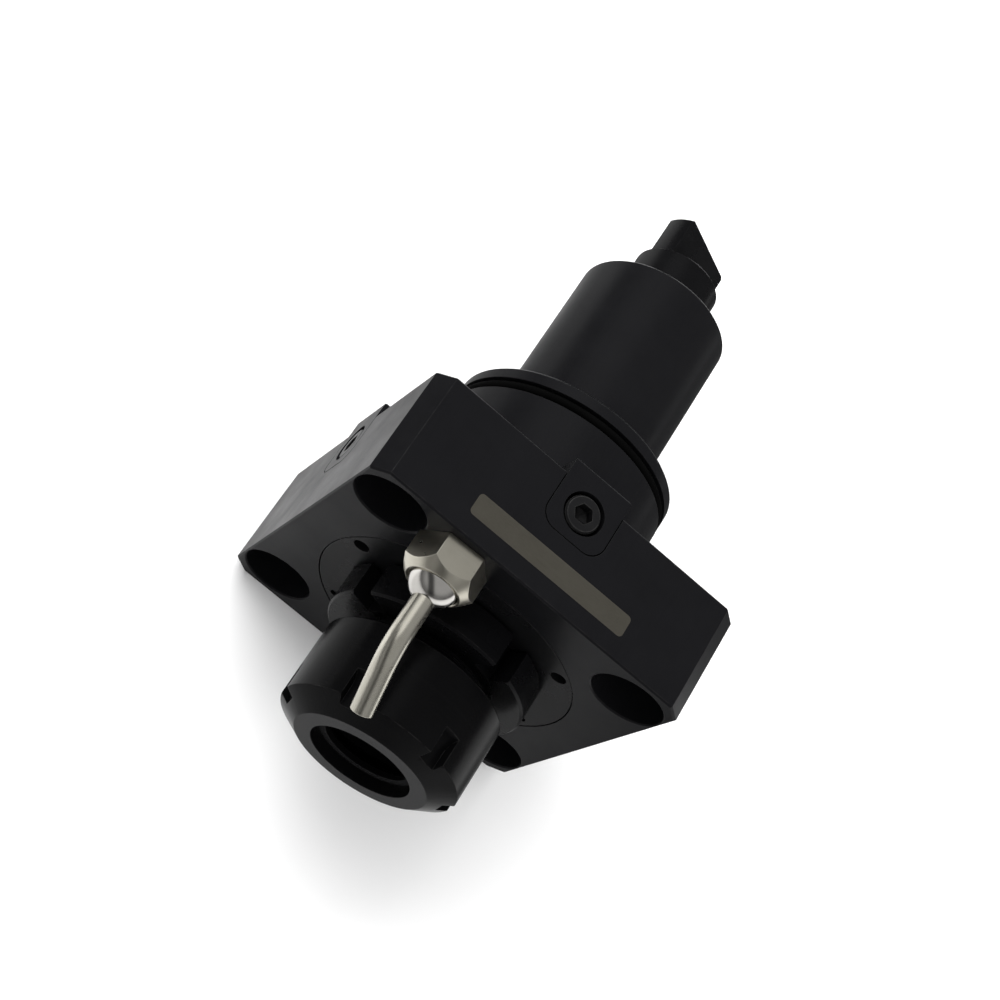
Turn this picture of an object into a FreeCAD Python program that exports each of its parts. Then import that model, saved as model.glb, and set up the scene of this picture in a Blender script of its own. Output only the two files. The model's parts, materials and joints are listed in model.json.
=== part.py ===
import FreeCAD, Part
import os
import Sketcher

# Straight driven tool holder for a lathe turret. Millimetres.
# X runs along the wide flank that carries the upper key, Y is the spindle axis and
# points from the collet nut to the drive tang, Z is up. The origin is the centre of the
# spigot in the plane of the mounting face, so the flange lies at negative Y.

SIZES = {
    # flange block and its four fixing bolts
    "flange_width": 82.0,
    "flange_height": 84.6,
    "flange_thickness": 26.5,
    "flange_corner": 3.6,
    "flange_edge": 0.4,
    "bolt_spacing_x": 64.0,
    "bolt_spacing_z": 64.0,
    "bolt_hole_diameter": 11.0,
    "bolt_head_diameter": 16.8,
    "bolt_head_depth": 15.0,
    "bolt_edge": 0.3,
    # spigot that centres the holder in the turret
    "spigot_diameter": 55.0,
    "spigot_length": 28.5,
    "spigot_chamfer": 1.0,
    "seal_groove_start": 21.9,
    "seal_groove_width": 3.0,
    "seal_groove_depth": 2.2,
    # slim tube behind the spigot
    "tube_diameter": 38.1,
    "tube_reach": 73.0,
    "tube_chamfer": 1.0,
    # bearing arrangement
    "bearing_outside": 47.0,
    "bearing_bore": 30.0,
    "bearing_width": 9.0,
    "bearing_ball": 5.5,
    "cage_thickness": 1.4,
    "cage_rim": 0.65,
    "spacer_length": 8.0,
    "ring_shoulder": 2.9,
    "cover_diameter": 63.4,
    "cover_thickness": 6.0,
    "cover_edge": 0.25,
    "pin_hole_circle": 57.6,
    "pin_hole_diameter": 3.8,
    "pin_hole_depth": 4.0,
    "grub_diameter": 2.4,
    "grub_length": 4.0,
    "grub_sink": 0.8,
    "cover_bore_gap": 0.4,
    "front_seal_height": 4.0,
    "front_seal_lip": 1.2,
    "inner_bore": 42.0,
    "inner_bore_end": 18.0,
    "tube_bore": 28.0,
    "bore_taper_length": 5.0,
    "lock_nut_diameter": 39.0,
    "lock_nut_length": 7.0,
    "lock_nut_slot": 5.0,
    "lock_nut_slot_depth": 2.0,
    "lock_nut_chamfer": 1.0,
    "lock_washer_inset": 1.0,
    "lock_washer_thickness": 1.2,
    "needle_diameter": 2.0,
    "needle_cup_wall": 0.9,
    "needle_cup_length": 12.0,
    "needle_cup_start": 54.0,
    "needle_end_gap": 0.6,
    "needle_cage_rim": 0.5,
    "needle_cage_thickness": 0.7,
    "shaft_seal_length": 4.0,
    "shaft_seal_lip": 0.8,
    "circlip_thickness": 1.2,
    "circlip_depth": 0.9,
    "circlip_width": 2.4,
    "circlip_inset": 1.2,
    "circlip_opening": 4.8,
    # spindle
    "shaft_diameter": 22.0,
    "shaft_reach": 85.7,
    "tang_length": 11.5,
    "tang_width": 20.4,
    "tang_thickness": 6.6,
    "tang_chamfer": 0.6,
    "centre_hole_diameter": 5.0,
    "centre_hole_depth": 4.3,
    "neck_diameter": 36.0,
    "collar_diameter": 48.4,
    "collar_length": 8.0,
    "collar_gap": 0.8,
    "collar_chamfer": 0.5,
    "collar_notch_width": 5.5,
    "collar_notch_depth": 6.2,
    "nose_diameter": 32.0,
    "nose_length": 18.5,
    "nose_chamfer": 0.8,
    "socket_mouth": 26.0,
    "socket_slope": 0.1405,
    "socket_depth": 28.0,
    "socket_relief": 10.0,
    "seat_runout": 1.0,
    "cone_length": 4.0,
    # clamping nut and its extraction ring
    "nut_diameter": 43.2,
    "nut_length": 21.9,
    "nut_gap": 4.0,
    "nut_bevel_length": 3.4,
    "nut_face_diameter": 32.4,
    "nut_mouth": 24.2,
    "nut_throat": 23.6,
    "nut_lip": 3.0,
    "nut_rear_chamfer": 0.6,
    "nut_slot_width": 4.5,
    "nut_slot_depth": 2.4,
    "nut_slot_length": 6.0,
    "nut_slot_cutter": 4.5,
    "ring_diameter": 26.0,
    "ring_flange": 1.25,
    "ring_neck": 24.6,
    "ring_length": 2.3,
    "ring_hole": 20.4,
    "ring_chamfer": 1.0,
    # turret keys
    "key_width": 15.6,
    "key_height": 8.3,
    "key_depth": 12.4,
    "key_stand": 4.4,
    "key_corner": 4.0,
    "key_edge": 0.5,
    "key_screw_place": 5.2,
    "key_screw_head": 8.5,
    "key_screw_head_height": 5.0,
    "key_screw_edge": 0.5,
    "key_screw_shank": 5.0,
    "key_screw_tip": 0.4,
    "key_screw_clearance": 0.5,
    "key_screw_length": 8.0,
    "key_thread_spare": 0.5,
    "key_screw_socket": 4.2,
    "key_screw_socket_depth": 2.6,
    "key_counterbore": 9.8,
    "key_counterbore_depth": 5.8,
    # coolant outlet
    "nozzle_side": 15.5,
    "nozzle_height": 32.4,
    "coolant_bore": 5.5,
    "inlet_seal_diameter": 11.2,
    "inlet_seal_section": 1.8,
    "inlet_seal_groove": 1.4,
    "seat_diameter": 11.8,
    "seat_thread": 6.8,
    "seat_depth": 11.0,
    "seat_bore": 4.0,
    "seat_base": 0.9,
    "seat_cup": 9.8,
    "seat_cup_depth": 2.2,
    "nozzle_seal_bore": 4.6,
    "nozzle_nut_flats": 15.0,
    "nozzle_nut_height": 8.4,
    "nozzle_nut_corner": 2.7,
    "nozzle_nut_rim": 12.6,
    "nozzle_nut_grip": 15.0,
    "nozzle_nut_lip": 0.4,
    "nozzle_ball": 11.2,
    "nozzle_ball_reach": 7.0,
    "nozzle_tube": 5.0,
    "nozzle_tube_wall": 0.7,
    "nozzle_straight": 17.1,
    "nozzle_bend_radius": 12.0,
    "nozzle_bend_angle": 42.0,
    "nozzle_tip": 14.6,
    "running_clearance": 0.08,
    "fit_gap": 0.05,
}

BALLS = 12
NEEDLES = 14
COVER_HOLES = 3
COVER_HOLE_ANGLE = 163.0
NUT_SLOTS = 6
NUT_SLOT_ANGLE = 68.0
LOCK_NUT_SLOTS = 4
COLLAR_NOTCHES = 4
COLLAR_NOTCH_ANGLE = 67.0
TANG_ANGLE = 59.6
NOZZLE_NUT_ANGLE = 3.0
DRILL_POINT = 0.6
FULL_TURN = 360.0

doc = FreeCAD.newDocument("driven_tool_holder")
sheet = doc.addObject("Spreadsheet::Sheet", "Sizes")
for row, (alias, number) in enumerate(SIZES.items(), start=1):
    sheet.set(f"A{row}", alias)
    sheet.set(f"B{row}", str(number))
    sheet.setAlias(f"B{row}", alias)
doc.recompute()


class Cells:
    """Gives the expression text of a cell by its alias: S.flange_width."""

    def __getattr__(self, alias):
        if alias not in SIZES:
            raise AttributeError(alias)
        return f"Sizes.{alias}"


S = Cells()
ORIGIN = FreeCAD.Vector(0, 0, 0)
ALONG_X = FreeCAD.Vector(1, 0, 0)
ALONG_Y = FreeCAD.Vector(0, 1, 0)
ALONG_Z = FreeCAD.Vector(0, 0, 1)
pieces = []


def number_of(formula):
    """The present value of a formula on the sheet's cells."""
    value = sheet.evalExpression(str(formula))
    return float(getattr(value, "Value", value))


def plane_of(body, role):
    """One of the body's own origin planes or axes."""
    return next(item for item in body.Origin.OriginFeatures if item.Role == role)


def new_body(name):
    return doc.addObject("PartDesign::Body", name)


def new_sketch(body, name, role, lift="0", turn=0.0):
    """A sketch on an origin plane, lifted along its normal and turned in its own plane."""
    sketch = body.newObject("Sketcher::SketchObject", name)
    sketch.AttachmentSupport = [(plane_of(body, role), "")]
    sketch.MapMode = "FlatFace"
    sketch.AttachmentOffset = FreeCAD.Placement(ORIGIN, FreeCAD.Rotation(ALONG_Z, turn))
    if lift != "0":
        sketch.setExpression("AttachmentOffset.Base.z", lift)
    return sketch


def pin_point(sketch, geometry, vertex, across, along):
    """Ties one vertex to formulas for its two sketch coordinates."""
    for kind, formula, axis in (("DistanceX", across, -2), ("DistanceY", along, -1)):
        value = number_of(formula)
        if abs(value) < 1e-9:
            sketch.addConstraint(Sketcher.Constraint("PointOnObject", geometry, vertex, axis))
            continue
        index = sketch.addConstraint(Sketcher.Constraint(kind, -1, 1, geometry, vertex, value))
        sketch.setExpression(f"Constraints[{index}]", str(formula))


def outline(sketch, points):
    """A closed outline of straight edges through points given as formula pairs."""
    corners = [FreeCAD.Vector(number_of(a), number_of(b), 0) for a, b in points]
    first = sketch.GeometryCount
    count = len(corners)
    for index, corner in enumerate(corners):
        sketch.addGeometry(Part.LineSegment(corner, corners[(index + 1) % count]), False)
    for index in range(count):
        following = first + (index + 1) % count
        sketch.addConstraint(Sketcher.Constraint("Coincident", first + index, 2, following, 1))
    for index, (across, along) in enumerate(points):
        pin_point(sketch, first + index, 1, across, along)


def ring_outline(sketch, across, along, radius):
    """A circle with formulas for its centre and radius."""
    centre = FreeCAD.Vector(number_of(across), number_of(along), 0)
    index = sketch.addGeometry(Part.Circle(centre, ALONG_Z, number_of(radius)), False)
    pin_point(sketch, index, 3, across, along)
    rule = sketch.addConstraint(Sketcher.Constraint("Radius", index, number_of(radius)))
    sketch.setExpression(f"Constraints[{rule}]", radius)
    return index


def turn_profile(body, name, points, kind="PartDesign::Revolution"):
    """A profile of (radius, axial place) pairs turned about the body's own Y axis."""
    sketch = new_sketch(body, name + "_profile", "XY_Plane")
    outline(sketch, points)
    turned = body.newObject(kind, name)
    turned.Profile = sketch
    turned.ReferenceAxis = (plane_of(body, "Y_Axis"), [""])
    turned.Angle = FULL_TURN
    return turned


def turned_body(name, points):
    body = new_body(name)
    turn_profile(body, name + "_turned", points)
    return body


def sink(body, name, sketch, depth, reverse=False):
    """A pocket of the given depth; the sketch's normal says which way reverse turns it."""
    pocket = body.newObject("PartDesign::Pocket", name)
    pocket.Profile = sketch
    pocket.setExpression("Length", depth)
    pocket.Reversed = reverse
    return pocket


def repeat(body, name, feature, count):
    """Copies one feature evenly about the body's Y axis."""
    doc.recompute()
    pattern = body.newObject("PartDesign::PolarPattern", name)
    pattern.Originals = [feature]
    pattern.Axis = (plane_of(body, "Y_Axis"), [""])
    pattern.Angle = FULL_TURN
    pattern.Occurrences = count
    body.Tip = pattern
    return pattern


def place(item, x="0", y="0", z="0"):
    """Moves an object by formulas."""
    for axis, formula in (("x", x), ("y", y), ("z", z)):
        if formula != "0":
            item.setExpression(f"Placement.Base.{axis}", formula)
    return item


def turn_about_spindle(item, angle):
    item.Placement = FreeCAD.Placement(ORIGIN, FreeCAD.Rotation(ALONG_Y, angle))
    return item


def rod(name, radius, start, end, x="0", z="0"):
    """A cylinder parallel to Y from one axial place to another."""
    cylinder = doc.addObject("Part::Cylinder", name)
    cylinder.setExpression("Radius", radius)
    cylinder.setExpression("Height", f"({end}) - ({start})")
    cylinder.Placement = FreeCAD.Placement(ORIGIN, FreeCAD.Rotation(ALONG_X, -90))
    return place(cylinder, x, start, z)


def cut(name, base, tools):
    """The base less every tool."""
    if len(tools) > 1:
        joined = doc.addObject("Part::MultiFuse", name + "_tools")
        joined.Shapes = tools
    else:
        joined = tools[0]
    result = doc.addObject("Part::Cut", name)
    result.Base = base
    result.Tool = joined
    return result


def group(name, items):
    gathered = doc.addObject("Part::Compound", name)
    gathered.Links = items
    return gathered


def keep(label, item):
    """Registers a finished piece under the name of its file."""
    item.Label = label
    pieces.append(item)
    return item


# Axial places, as formulas.
FACE_FRONT = f"(-{S.flange_thickness})"
COVER_BACK = f"({FACE_FRONT} + {S.cover_thickness})"
BEARING_A = COVER_BACK
SPACER = f"({BEARING_A} + {S.bearing_width})"
BEARING_B = f"({SPACER} + {S.spacer_length})"
BEARING_END = f"({BEARING_B} + {S.bearing_width})"
COLLAR_BACK = f"({FACE_FRONT} - {S.collar_gap})"
COLLAR_FRONT = f"({COLLAR_BACK} - {S.collar_length})"
NOSE_FRONT = f"({COLLAR_FRONT} - {S.nose_length})"
NUT_BACK = f"({COLLAR_FRONT} - {S.nut_gap})"
NUT_FRONT = f"({NUT_BACK} - {S.nut_length})"
LOCK_NUT_START = f"({BEARING_END} + {S.lock_washer_thickness})"
LOCK_NUT_END = f"({LOCK_NUT_START} + {S.lock_nut_length})"
TANG_END = f"({S.shaft_reach} + {S.tang_length})"
GROOVE_END = f"({S.seal_groove_start} + {S.seal_groove_width})"
CIRCLIP_END = f"({S.tube_reach} - {S.circlip_inset})"
CIRCLIP_START = f"({CIRCLIP_END} - {S.circlip_thickness})"
SHAFT_SEAL_START = f"({CIRCLIP_START} - {S.shaft_seal_length})"
BALL_CENTRE = f"({FACE_FRONT} - {S.nozzle_ball_reach})"
HALF_WIDTH = f"({S.flange_width} / 2)"
HALF_HEIGHT = f"({S.flange_height} / 2)"
BOLT_X = f"({S.bolt_spacing_x} / 2)"
BOLT_Z = f"({S.bolt_spacing_z} / 2)"
PITCH_RADIUS = f"(({S.bearing_outside} + {S.bearing_bore}) / 4)"
CLEAR = "5"


# Flange, spigot and bearing tube, made in one piece.
def flange_outline():
    """The flange seen along the spindle: a rectangle with its four corners cut off."""
    inner_x = f"({HALF_WIDTH} - {S.flange_corner})"
    inner_z = f"({HALF_HEIGHT} - {S.flange_corner})"
    corners = []
    for sign_x, sign_z in ((1, 1), (-1, 1), (-1, -1), (1, -1)):
        side = (f"{sign_x} * {HALF_WIDTH}", f"{sign_z} * {inner_z}")
        top = (f"{sign_x} * {inner_x}", f"{sign_z} * {HALF_HEIGHT}")
        corners += [side, top] if sign_x * sign_z > 0 else [top, side]
    return corners


def make_housing():
    body = new_body("housing_body")
    sketch = new_sketch(body, "flange_sketch", "XZ_Plane")
    outline(sketch, flange_outline())
    pad = body.newObject("PartDesign::Pad", "flange")
    pad.Profile = sketch
    pad.setExpression("Length", S.flange_thickness)
    doc.recompute()
    faces = [
        f"Face{index}"
        for index, face in enumerate(pad.Shape.Faces, start=1)
        if abs(face.normalAt(0, 0).y) > 0.9
    ]
    edge = body.newObject("PartDesign::Chamfer", "flange_edges")
    edge.Base = (pad, faces)
    edge.setExpression("Size", S.flange_edge)

    spigot = f"({S.spigot_diameter} / 2)"
    groove = f"({spigot} - {S.seal_groove_depth})"
    tube = f"({S.tube_diameter} / 2)"
    overlap = f"({FACE_FRONT} / 2)"
    turn_profile(body, "spigot_and_tube", [
        ("0", overlap),
        (spigot, overlap),
        (spigot, S.seal_groove_start),
        (groove, S.seal_groove_start),
        (groove, GROOVE_END),
        (spigot, GROOVE_END),
        (spigot, f"{S.spigot_length} - {S.spigot_chamfer}"),
        (f"{spigot} - {S.spigot_chamfer}", S.spigot_length),
        (tube, S.spigot_length),
        (tube, f"{S.tube_reach} - {S.tube_chamfer}"),
        (f"{tube} - {S.tube_chamfer}", S.tube_reach),
        ("0", S.tube_reach),
    ])

    cover = f"({S.cover_diameter} / 2)"
    seat = f"({S.bearing_outside} / 2)"
    inner = f"({S.inner_bore} / 2)"
    bore = f"({S.tube_bore} / 2)"
    clip = f"({bore} + {S.circlip_depth})"
    turn_profile(body, "bearing_bores", [
        ("0", f"{FACE_FRONT} - {CLEAR}"),
        (cover, f"{FACE_FRONT} - {CLEAR}"),
        (cover, COVER_BACK),
        (seat, COVER_BACK),
        (seat, BEARING_END),
        (inner, BEARING_END),
        (inner, S.inner_bore_end),
        (bore, f"{S.inner_bore_end} + {S.bore_taper_length}"),
        (bore, CIRCLIP_START),
        (clip, CIRCLIP_START),
        (clip, CIRCLIP_END),
        (bore, CIRCLIP_END),
        (bore, f"{S.tube_reach} + {CLEAR}"),
        ("0", f"{S.tube_reach} + {CLEAR}"),
    ], "PartDesign::Groove")

    flank_pairs = (("upright", "XY_Plane", 0.0, HALF_HEIGHT), ("level", "YZ_Plane", -90.0, HALF_WIDTH))
    for pair, plane, turn, half_size in flank_pairs:
        seat_plane = f"({half_size} - {S.key_height})"
        sketch = new_sketch(body, f"key_seat_sketch_{pair}", plane, seat_plane, turn)
        key_outline(sketch, S.key_width, CLEAR)
        key_seat = sink(body, f"key_seat_{pair}", sketch, half_size, reverse=True)
        seats = repeat(body, f"key_seats_{pair}", key_seat, 2)
    round_key_corners(body, "key_seat_corners", seats, S.key_width)

    thread_depth = (
        f"{S.key_counterbore_depth} + {S.key_screw_length} - {S.key_height} + {S.key_thread_spare}"
    )
    for pair, plane, turn, half_size in flank_pairs:
        seat_plane = f"({half_size} - {S.key_height})"
        sketch = new_sketch(body, f"key_thread_sketch_{pair}", plane, seat_plane, turn)
        ring_outline(sketch, "0", f"-{S.key_screw_place}", f"{S.key_screw_shank} / 2")
        tapped = sink(body, f"key_thread_{pair}", sketch, thread_depth)
        repeat(body, f"key_threads_{pair}", tapped, 2)

    tools = []
    for number, (sign_x, sign_z) in enumerate(((1, 1), (-1, 1), (-1, -1), (1, -1)), start=1):
        tools += bolt_bore(number, f"{sign_x} * {BOLT_X}", f"{sign_z} * {BOLT_Z}")
    tools += coolant_bores()
    keep("housing", cut("housing", body, tools))


def key_outline(sketch, width, stand):
    """The key seen square on, before its two lower corners are rounded."""
    half = f"({width} / 2)"
    outline(sketch, [
        (half, stand),
        (half, f"-{S.key_depth}"),
        (f"-{half}", f"-{S.key_depth}"),
        (f"-{half}", stand),
    ])


def round_key_corners(body, name, feature, width):
    """Rounds the corners at the foot of a key or of its seats."""
    doc.recompute()
    half = number_of(width) / 2
    depth = number_of(S.key_depth)
    corners = []
    for index, edge in enumerate(feature.Shape.Edges, start=1):
        points = [vertex.Point for vertex in edge.Vertexes]
        at_foot = all(abs(point.y + depth) < 1e-6 for point in points)
        on_side = len(points) == 2 and any(
            abs(abs(getattr(points[0], axis)) - half) < 1e-6
            and abs(getattr(points[0], axis) - getattr(points[1], axis)) < 1e-6
            for axis in ("x", "z")
        )
        if at_foot and on_side:
            corners.append(f"Edge{index}")
    fillet = body.newObject("PartDesign::Fillet", name)
    fillet.Base = (feature, corners)
    fillet.setExpression("Radius", S.key_corner)
    doc.recompute()
    return fillet


def bolt_bore(number, x, z):
    """A counterbored hole for one fixing bolt, with a broken edge at its mouth."""
    head = f"({S.bolt_head_diameter} / 2)"
    mouth = doc.addObject("Part::Cone", f"bolt_mouth_{number}")
    mouth.setExpression("Radius1", f"{head} + {S.bolt_edge}")
    mouth.setExpression("Radius2", head)
    mouth.setExpression("Height", S.bolt_edge)
    mouth.Placement = FreeCAD.Placement(ORIGIN, FreeCAD.Rotation(ALONG_X, -90))
    place(mouth, x, FACE_FRONT, z)
    head_rest = f"({FACE_FRONT} + {S.bolt_head_depth})"
    return [
        mouth,
        rod(f"bolt_head_bore_{number}", head, FACE_FRONT, head_rest, x, z),
        rod(f"bolt_bore_{number}", f"{S.bolt_hole_diameter} / 2", head_rest, CLEAR, x, z),
    ]


def coolant_bores():
    """The coolant passage from the mounting face to the nozzle's threaded seat."""
    x = f"-{S.nozzle_side}"
    z = S.nozzle_height
    thread_end = f"({FACE_FRONT} + {S.seat_depth})"
    seal = f"({S.inlet_seal_diameter} / 2 + {S.inlet_seal_section} / 2)"
    inner = f"({S.inlet_seal_diameter} / 2 - {S.inlet_seal_section} / 2)"
    outside = rod("inlet_groove_outside", seal, f"-{S.inlet_seal_groove}", CLEAR, x, z)
    core = rod("inlet_groove_core", inner, f"-{S.inlet_seal_groove} - {CLEAR}", f"2 * {CLEAR}", x, z)
    return [
        rod("coolant_passage", f"{S.coolant_bore} / 2", thread_end, CLEAR, x, z),
        rod("nozzle_thread", f"{S.seat_thread} / 2", f"{FACE_FRONT} - {CLEAR}", thread_end, x, z),
        cut("inlet_groove", outside, [core]),
    ]


# Seals that sit in grooves.
def o_ring(label, radius, section, x="0", y="0", z="0"):
    ring = doc.addObject("Part::Torus", label)
    ring.setExpression("Radius1", radius)
    ring.setExpression("Radius2", f"{section} / 2")
    ring.Placement = FreeCAD.Placement(ORIGIN, FreeCAD.Rotation(ALONG_X, -90))
    keep(label, place(ring, x, y, z))


def make_seals():
    floor = f"({S.spigot_diameter} / 2 - {S.seal_groove_depth})"
    middle = f"{S.seal_groove_start} + {S.seal_groove_width} / 2"
    section = f"({S.seal_groove_depth} - {S.fit_gap})"
    o_ring("spigot_o_ring", f"{floor} + {section} / 2", section, y=middle)
    o_ring(
        "coolant_inlet_o_ring",
        f"{S.inlet_seal_diameter} / 2",
        f"({S.inlet_seal_section} - {S.fit_gap})",
        f"-{S.nozzle_side}",
        f"-{S.inlet_seal_groove} + {S.inlet_seal_section} / 2",
        S.nozzle_height,
    )
    neck = f"({S.neck_diameter} / 2 + {S.running_clearance})"
    outer = f"({neck} + {S.front_seal_height})"
    back = COVER_BACK
    lip = f"({COVER_BACK} - {S.cover_thickness} / 2)"
    keep("front_seal", turned_body("front_seal", [
        (neck, lip),
        (outer, lip),
        (outer, back),
        (f"{neck} + {S.front_seal_lip}", back),
    ]))
    shaft = f"({S.shaft_diameter} / 2 + {S.running_clearance})"
    bore = f"({S.tube_bore} / 2)"
    keep("rear_shaft_seal", turned_body("rear_shaft_seal", [
        (shaft, SHAFT_SEAL_START),
        (bore, SHAFT_SEAL_START),
        (bore, CIRCLIP_START),
        (f"{shaft} + {S.shaft_seal_lip}", CIRCLIP_START),
    ]))
    ring = f"({bore} + {S.circlip_depth} - {S.fit_gap})"
    inner = f"({bore} - {S.circlip_width})"
    clip = turned_body("circlip_ring", [
        (inner, CIRCLIP_START),
        (ring, CIRCLIP_START),
        (ring, CIRCLIP_END),
        (inner, CIRCLIP_END),
    ])
    opening = doc.addObject("Part::Box", "circlip_opening")
    opening.setExpression("Length", S.tube_bore)
    opening.setExpression("Width", f"{S.circlip_thickness} + 2 * {CLEAR}")
    opening.setExpression("Height", S.circlip_opening)
    place(opening, "0", f"{CIRCLIP_START} - {CLEAR}", f"-{S.circlip_opening} / 2")
    keep("rear_circlip", cut("rear_circlip", clip, [opening]))


# Cover ring that clamps the front bearings, flush with the flange.
def make_cover():
    outer = f"({S.cover_diameter} / 2)"
    neck = f"({S.neck_diameter} / 2 + {S.running_clearance})"
    seal = f"({neck} + {S.front_seal_height})"
    bore = f"({neck} + {S.cover_bore_gap})"
    lip = f"({COVER_BACK} - {S.cover_thickness} / 2)"
    ring = turned_body("cover_ring", [
        (bore, FACE_FRONT),
        (f"{outer} - {S.cover_edge}", FACE_FRONT),
        (outer, f"{FACE_FRONT} + {S.cover_edge}"),
        (outer, COVER_BACK),
        (seal, COVER_BACK),
        (seal, lip),
        (bore, lip),
    ])
    circle = f"({S.pin_hole_circle} / 2)"
    tools = []
    screws = []
    for index in range(COVER_HOLES):
        large = COVER_HOLE_ANGLE + index * FULL_TURN / COVER_HOLES
        small = large + FULL_TURN / COVER_HOLES / 2
        pin_end = f"{FACE_FRONT} + {S.pin_hole_depth}"
        grub_start = f"{FACE_FRONT} + {S.grub_sink}"
        grub_end = f"{FACE_FRONT} + {S.grub_sink} + {S.grub_length}"
        pin = (f"{circle} * cos({large})", f"{circle} * sin({large})")
        grub = (f"{circle} * cos({small})", f"{circle} * sin({small})")
        front = f"{FACE_FRONT} - {CLEAR}"
        tools.append(rod(f"pin_hole_{index}", f"{S.pin_hole_diameter} / 2", front, pin_end, *pin))
        tools.append(rod(f"grub_hole_{index}", f"{S.grub_diameter} / 2", front, grub_end, *grub))
        screws.append(rod(f"grub_{index}", f"{S.grub_diameter} / 2", grub_start, grub_end, *grub))
    keep("front_cover", cut("front_cover", ring, tools))
    keep("cover_grub_screws", group("cover_grub_screws", screws))


# Front bearings: ball races with a groove of straight facets that clears the balls.
def race_groove(side, start):
    """Groove corners around the ball; side is 1 for the outer ring and -1 for the inner."""
    steps = 4
    spread = 52.0
    reach = f"(({S.bearing_ball} / 2 + {S.fit_gap}) / cos({spread / steps}))"
    middle = f"({start} + {S.bearing_width} / 2)"
    corners = []
    for step in range(steps + 1):
        angle = -spread + 2 * spread * step / steps
        radius = f"{PITCH_RADIUS} + {side} * {reach} * cos({angle})"
        corners.append((radius, f"{middle} + {reach} * sin({angle})"))
    return corners


def make_ball_bearing(name, start):
    end = f"({start} + {S.bearing_width})"
    land_out = f"({S.bearing_outside} / 2 - {S.ring_shoulder})"
    land_in = f"({S.bearing_bore} / 2 + {S.ring_shoulder})"
    seat_out = f"({S.bearing_outside} / 2)"
    seat_in = f"({S.bearing_bore} / 2)"
    outer = [(land_out, start)] + race_groove(1, start) + [(land_out, end)]
    keep(f"{name}_outer_ring", turned_body(f"{name}_outer_ring", outer + [
        (seat_out, end),
        (seat_out, start),
    ]))
    inner = [(land_in, start)] + race_groove(-1, start) + [(land_in, end)]
    keep(f"{name}_inner_ring", turned_body(f"{name}_inner_ring", inner + [
        (seat_in, end),
        (seat_in, start),
    ]))
    middle = f"({start} + {S.bearing_width} / 2)"
    balls = []
    pockets = []
    for index in range(BALLS):
        angle = FULL_TURN * index / BALLS
        spot = (f"{PITCH_RADIUS} * cos({angle})", middle, f"{PITCH_RADIUS} * sin({angle})")
        sphere = doc.addObject("Part::Sphere", f"{name}_ball_{index}")
        sphere.setExpression("Radius", f"{S.bearing_ball} / 2")
        balls.append(place(sphere, *spot))
        pocket = doc.addObject("Part::Cylinder", f"{name}_pocket_{index}")
        pocket.setExpression("Radius", f"{S.bearing_ball} / 2 + {S.fit_gap}")
        pocket.setExpression("Height", f"{S.bearing_outside} / 2")
        turn_about_spindle(pocket, 90.0 - angle)
        pockets.append(place(pocket, y=middle))
    keep(f"{name}_balls", group(f"{name}_balls", balls))
    half_wall = f"{S.cage_thickness} / 2"
    half_length = f"({S.bearing_ball} / 2 + {S.cage_rim})"
    blank = turned_body(f"{name}_cage_blank", [
        (f"{PITCH_RADIUS} - {half_wall}", f"{middle} - {half_length}"),
        (f"{PITCH_RADIUS} + {half_wall}", f"{middle} - {half_length}"),
        (f"{PITCH_RADIUS} + {half_wall}", f"{middle} + {half_length}"),
        (f"{PITCH_RADIUS} - {half_wall}", f"{middle} + {half_length}"),
    ])
    keep(f"{name}_cage", cut(f"{name}_cage", blank, pockets))


def make_spacers():
    rings = (
        ("outer_spacer", f"({S.bearing_outside} / 2 - {S.ring_shoulder})",
         f"({S.bearing_outside} / 2)"),
        ("inner_spacer", f"({S.bearing_bore} / 2)",
         f"({S.bearing_bore} / 2 + {S.ring_shoulder})"),
    )
    for label, inner, outer in rings:
        keep(label, turned_body(label, [
            (inner, SPACER),
            (outer, SPACER),
            (outer, BEARING_B),
            (inner, BEARING_B),
        ]))


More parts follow.
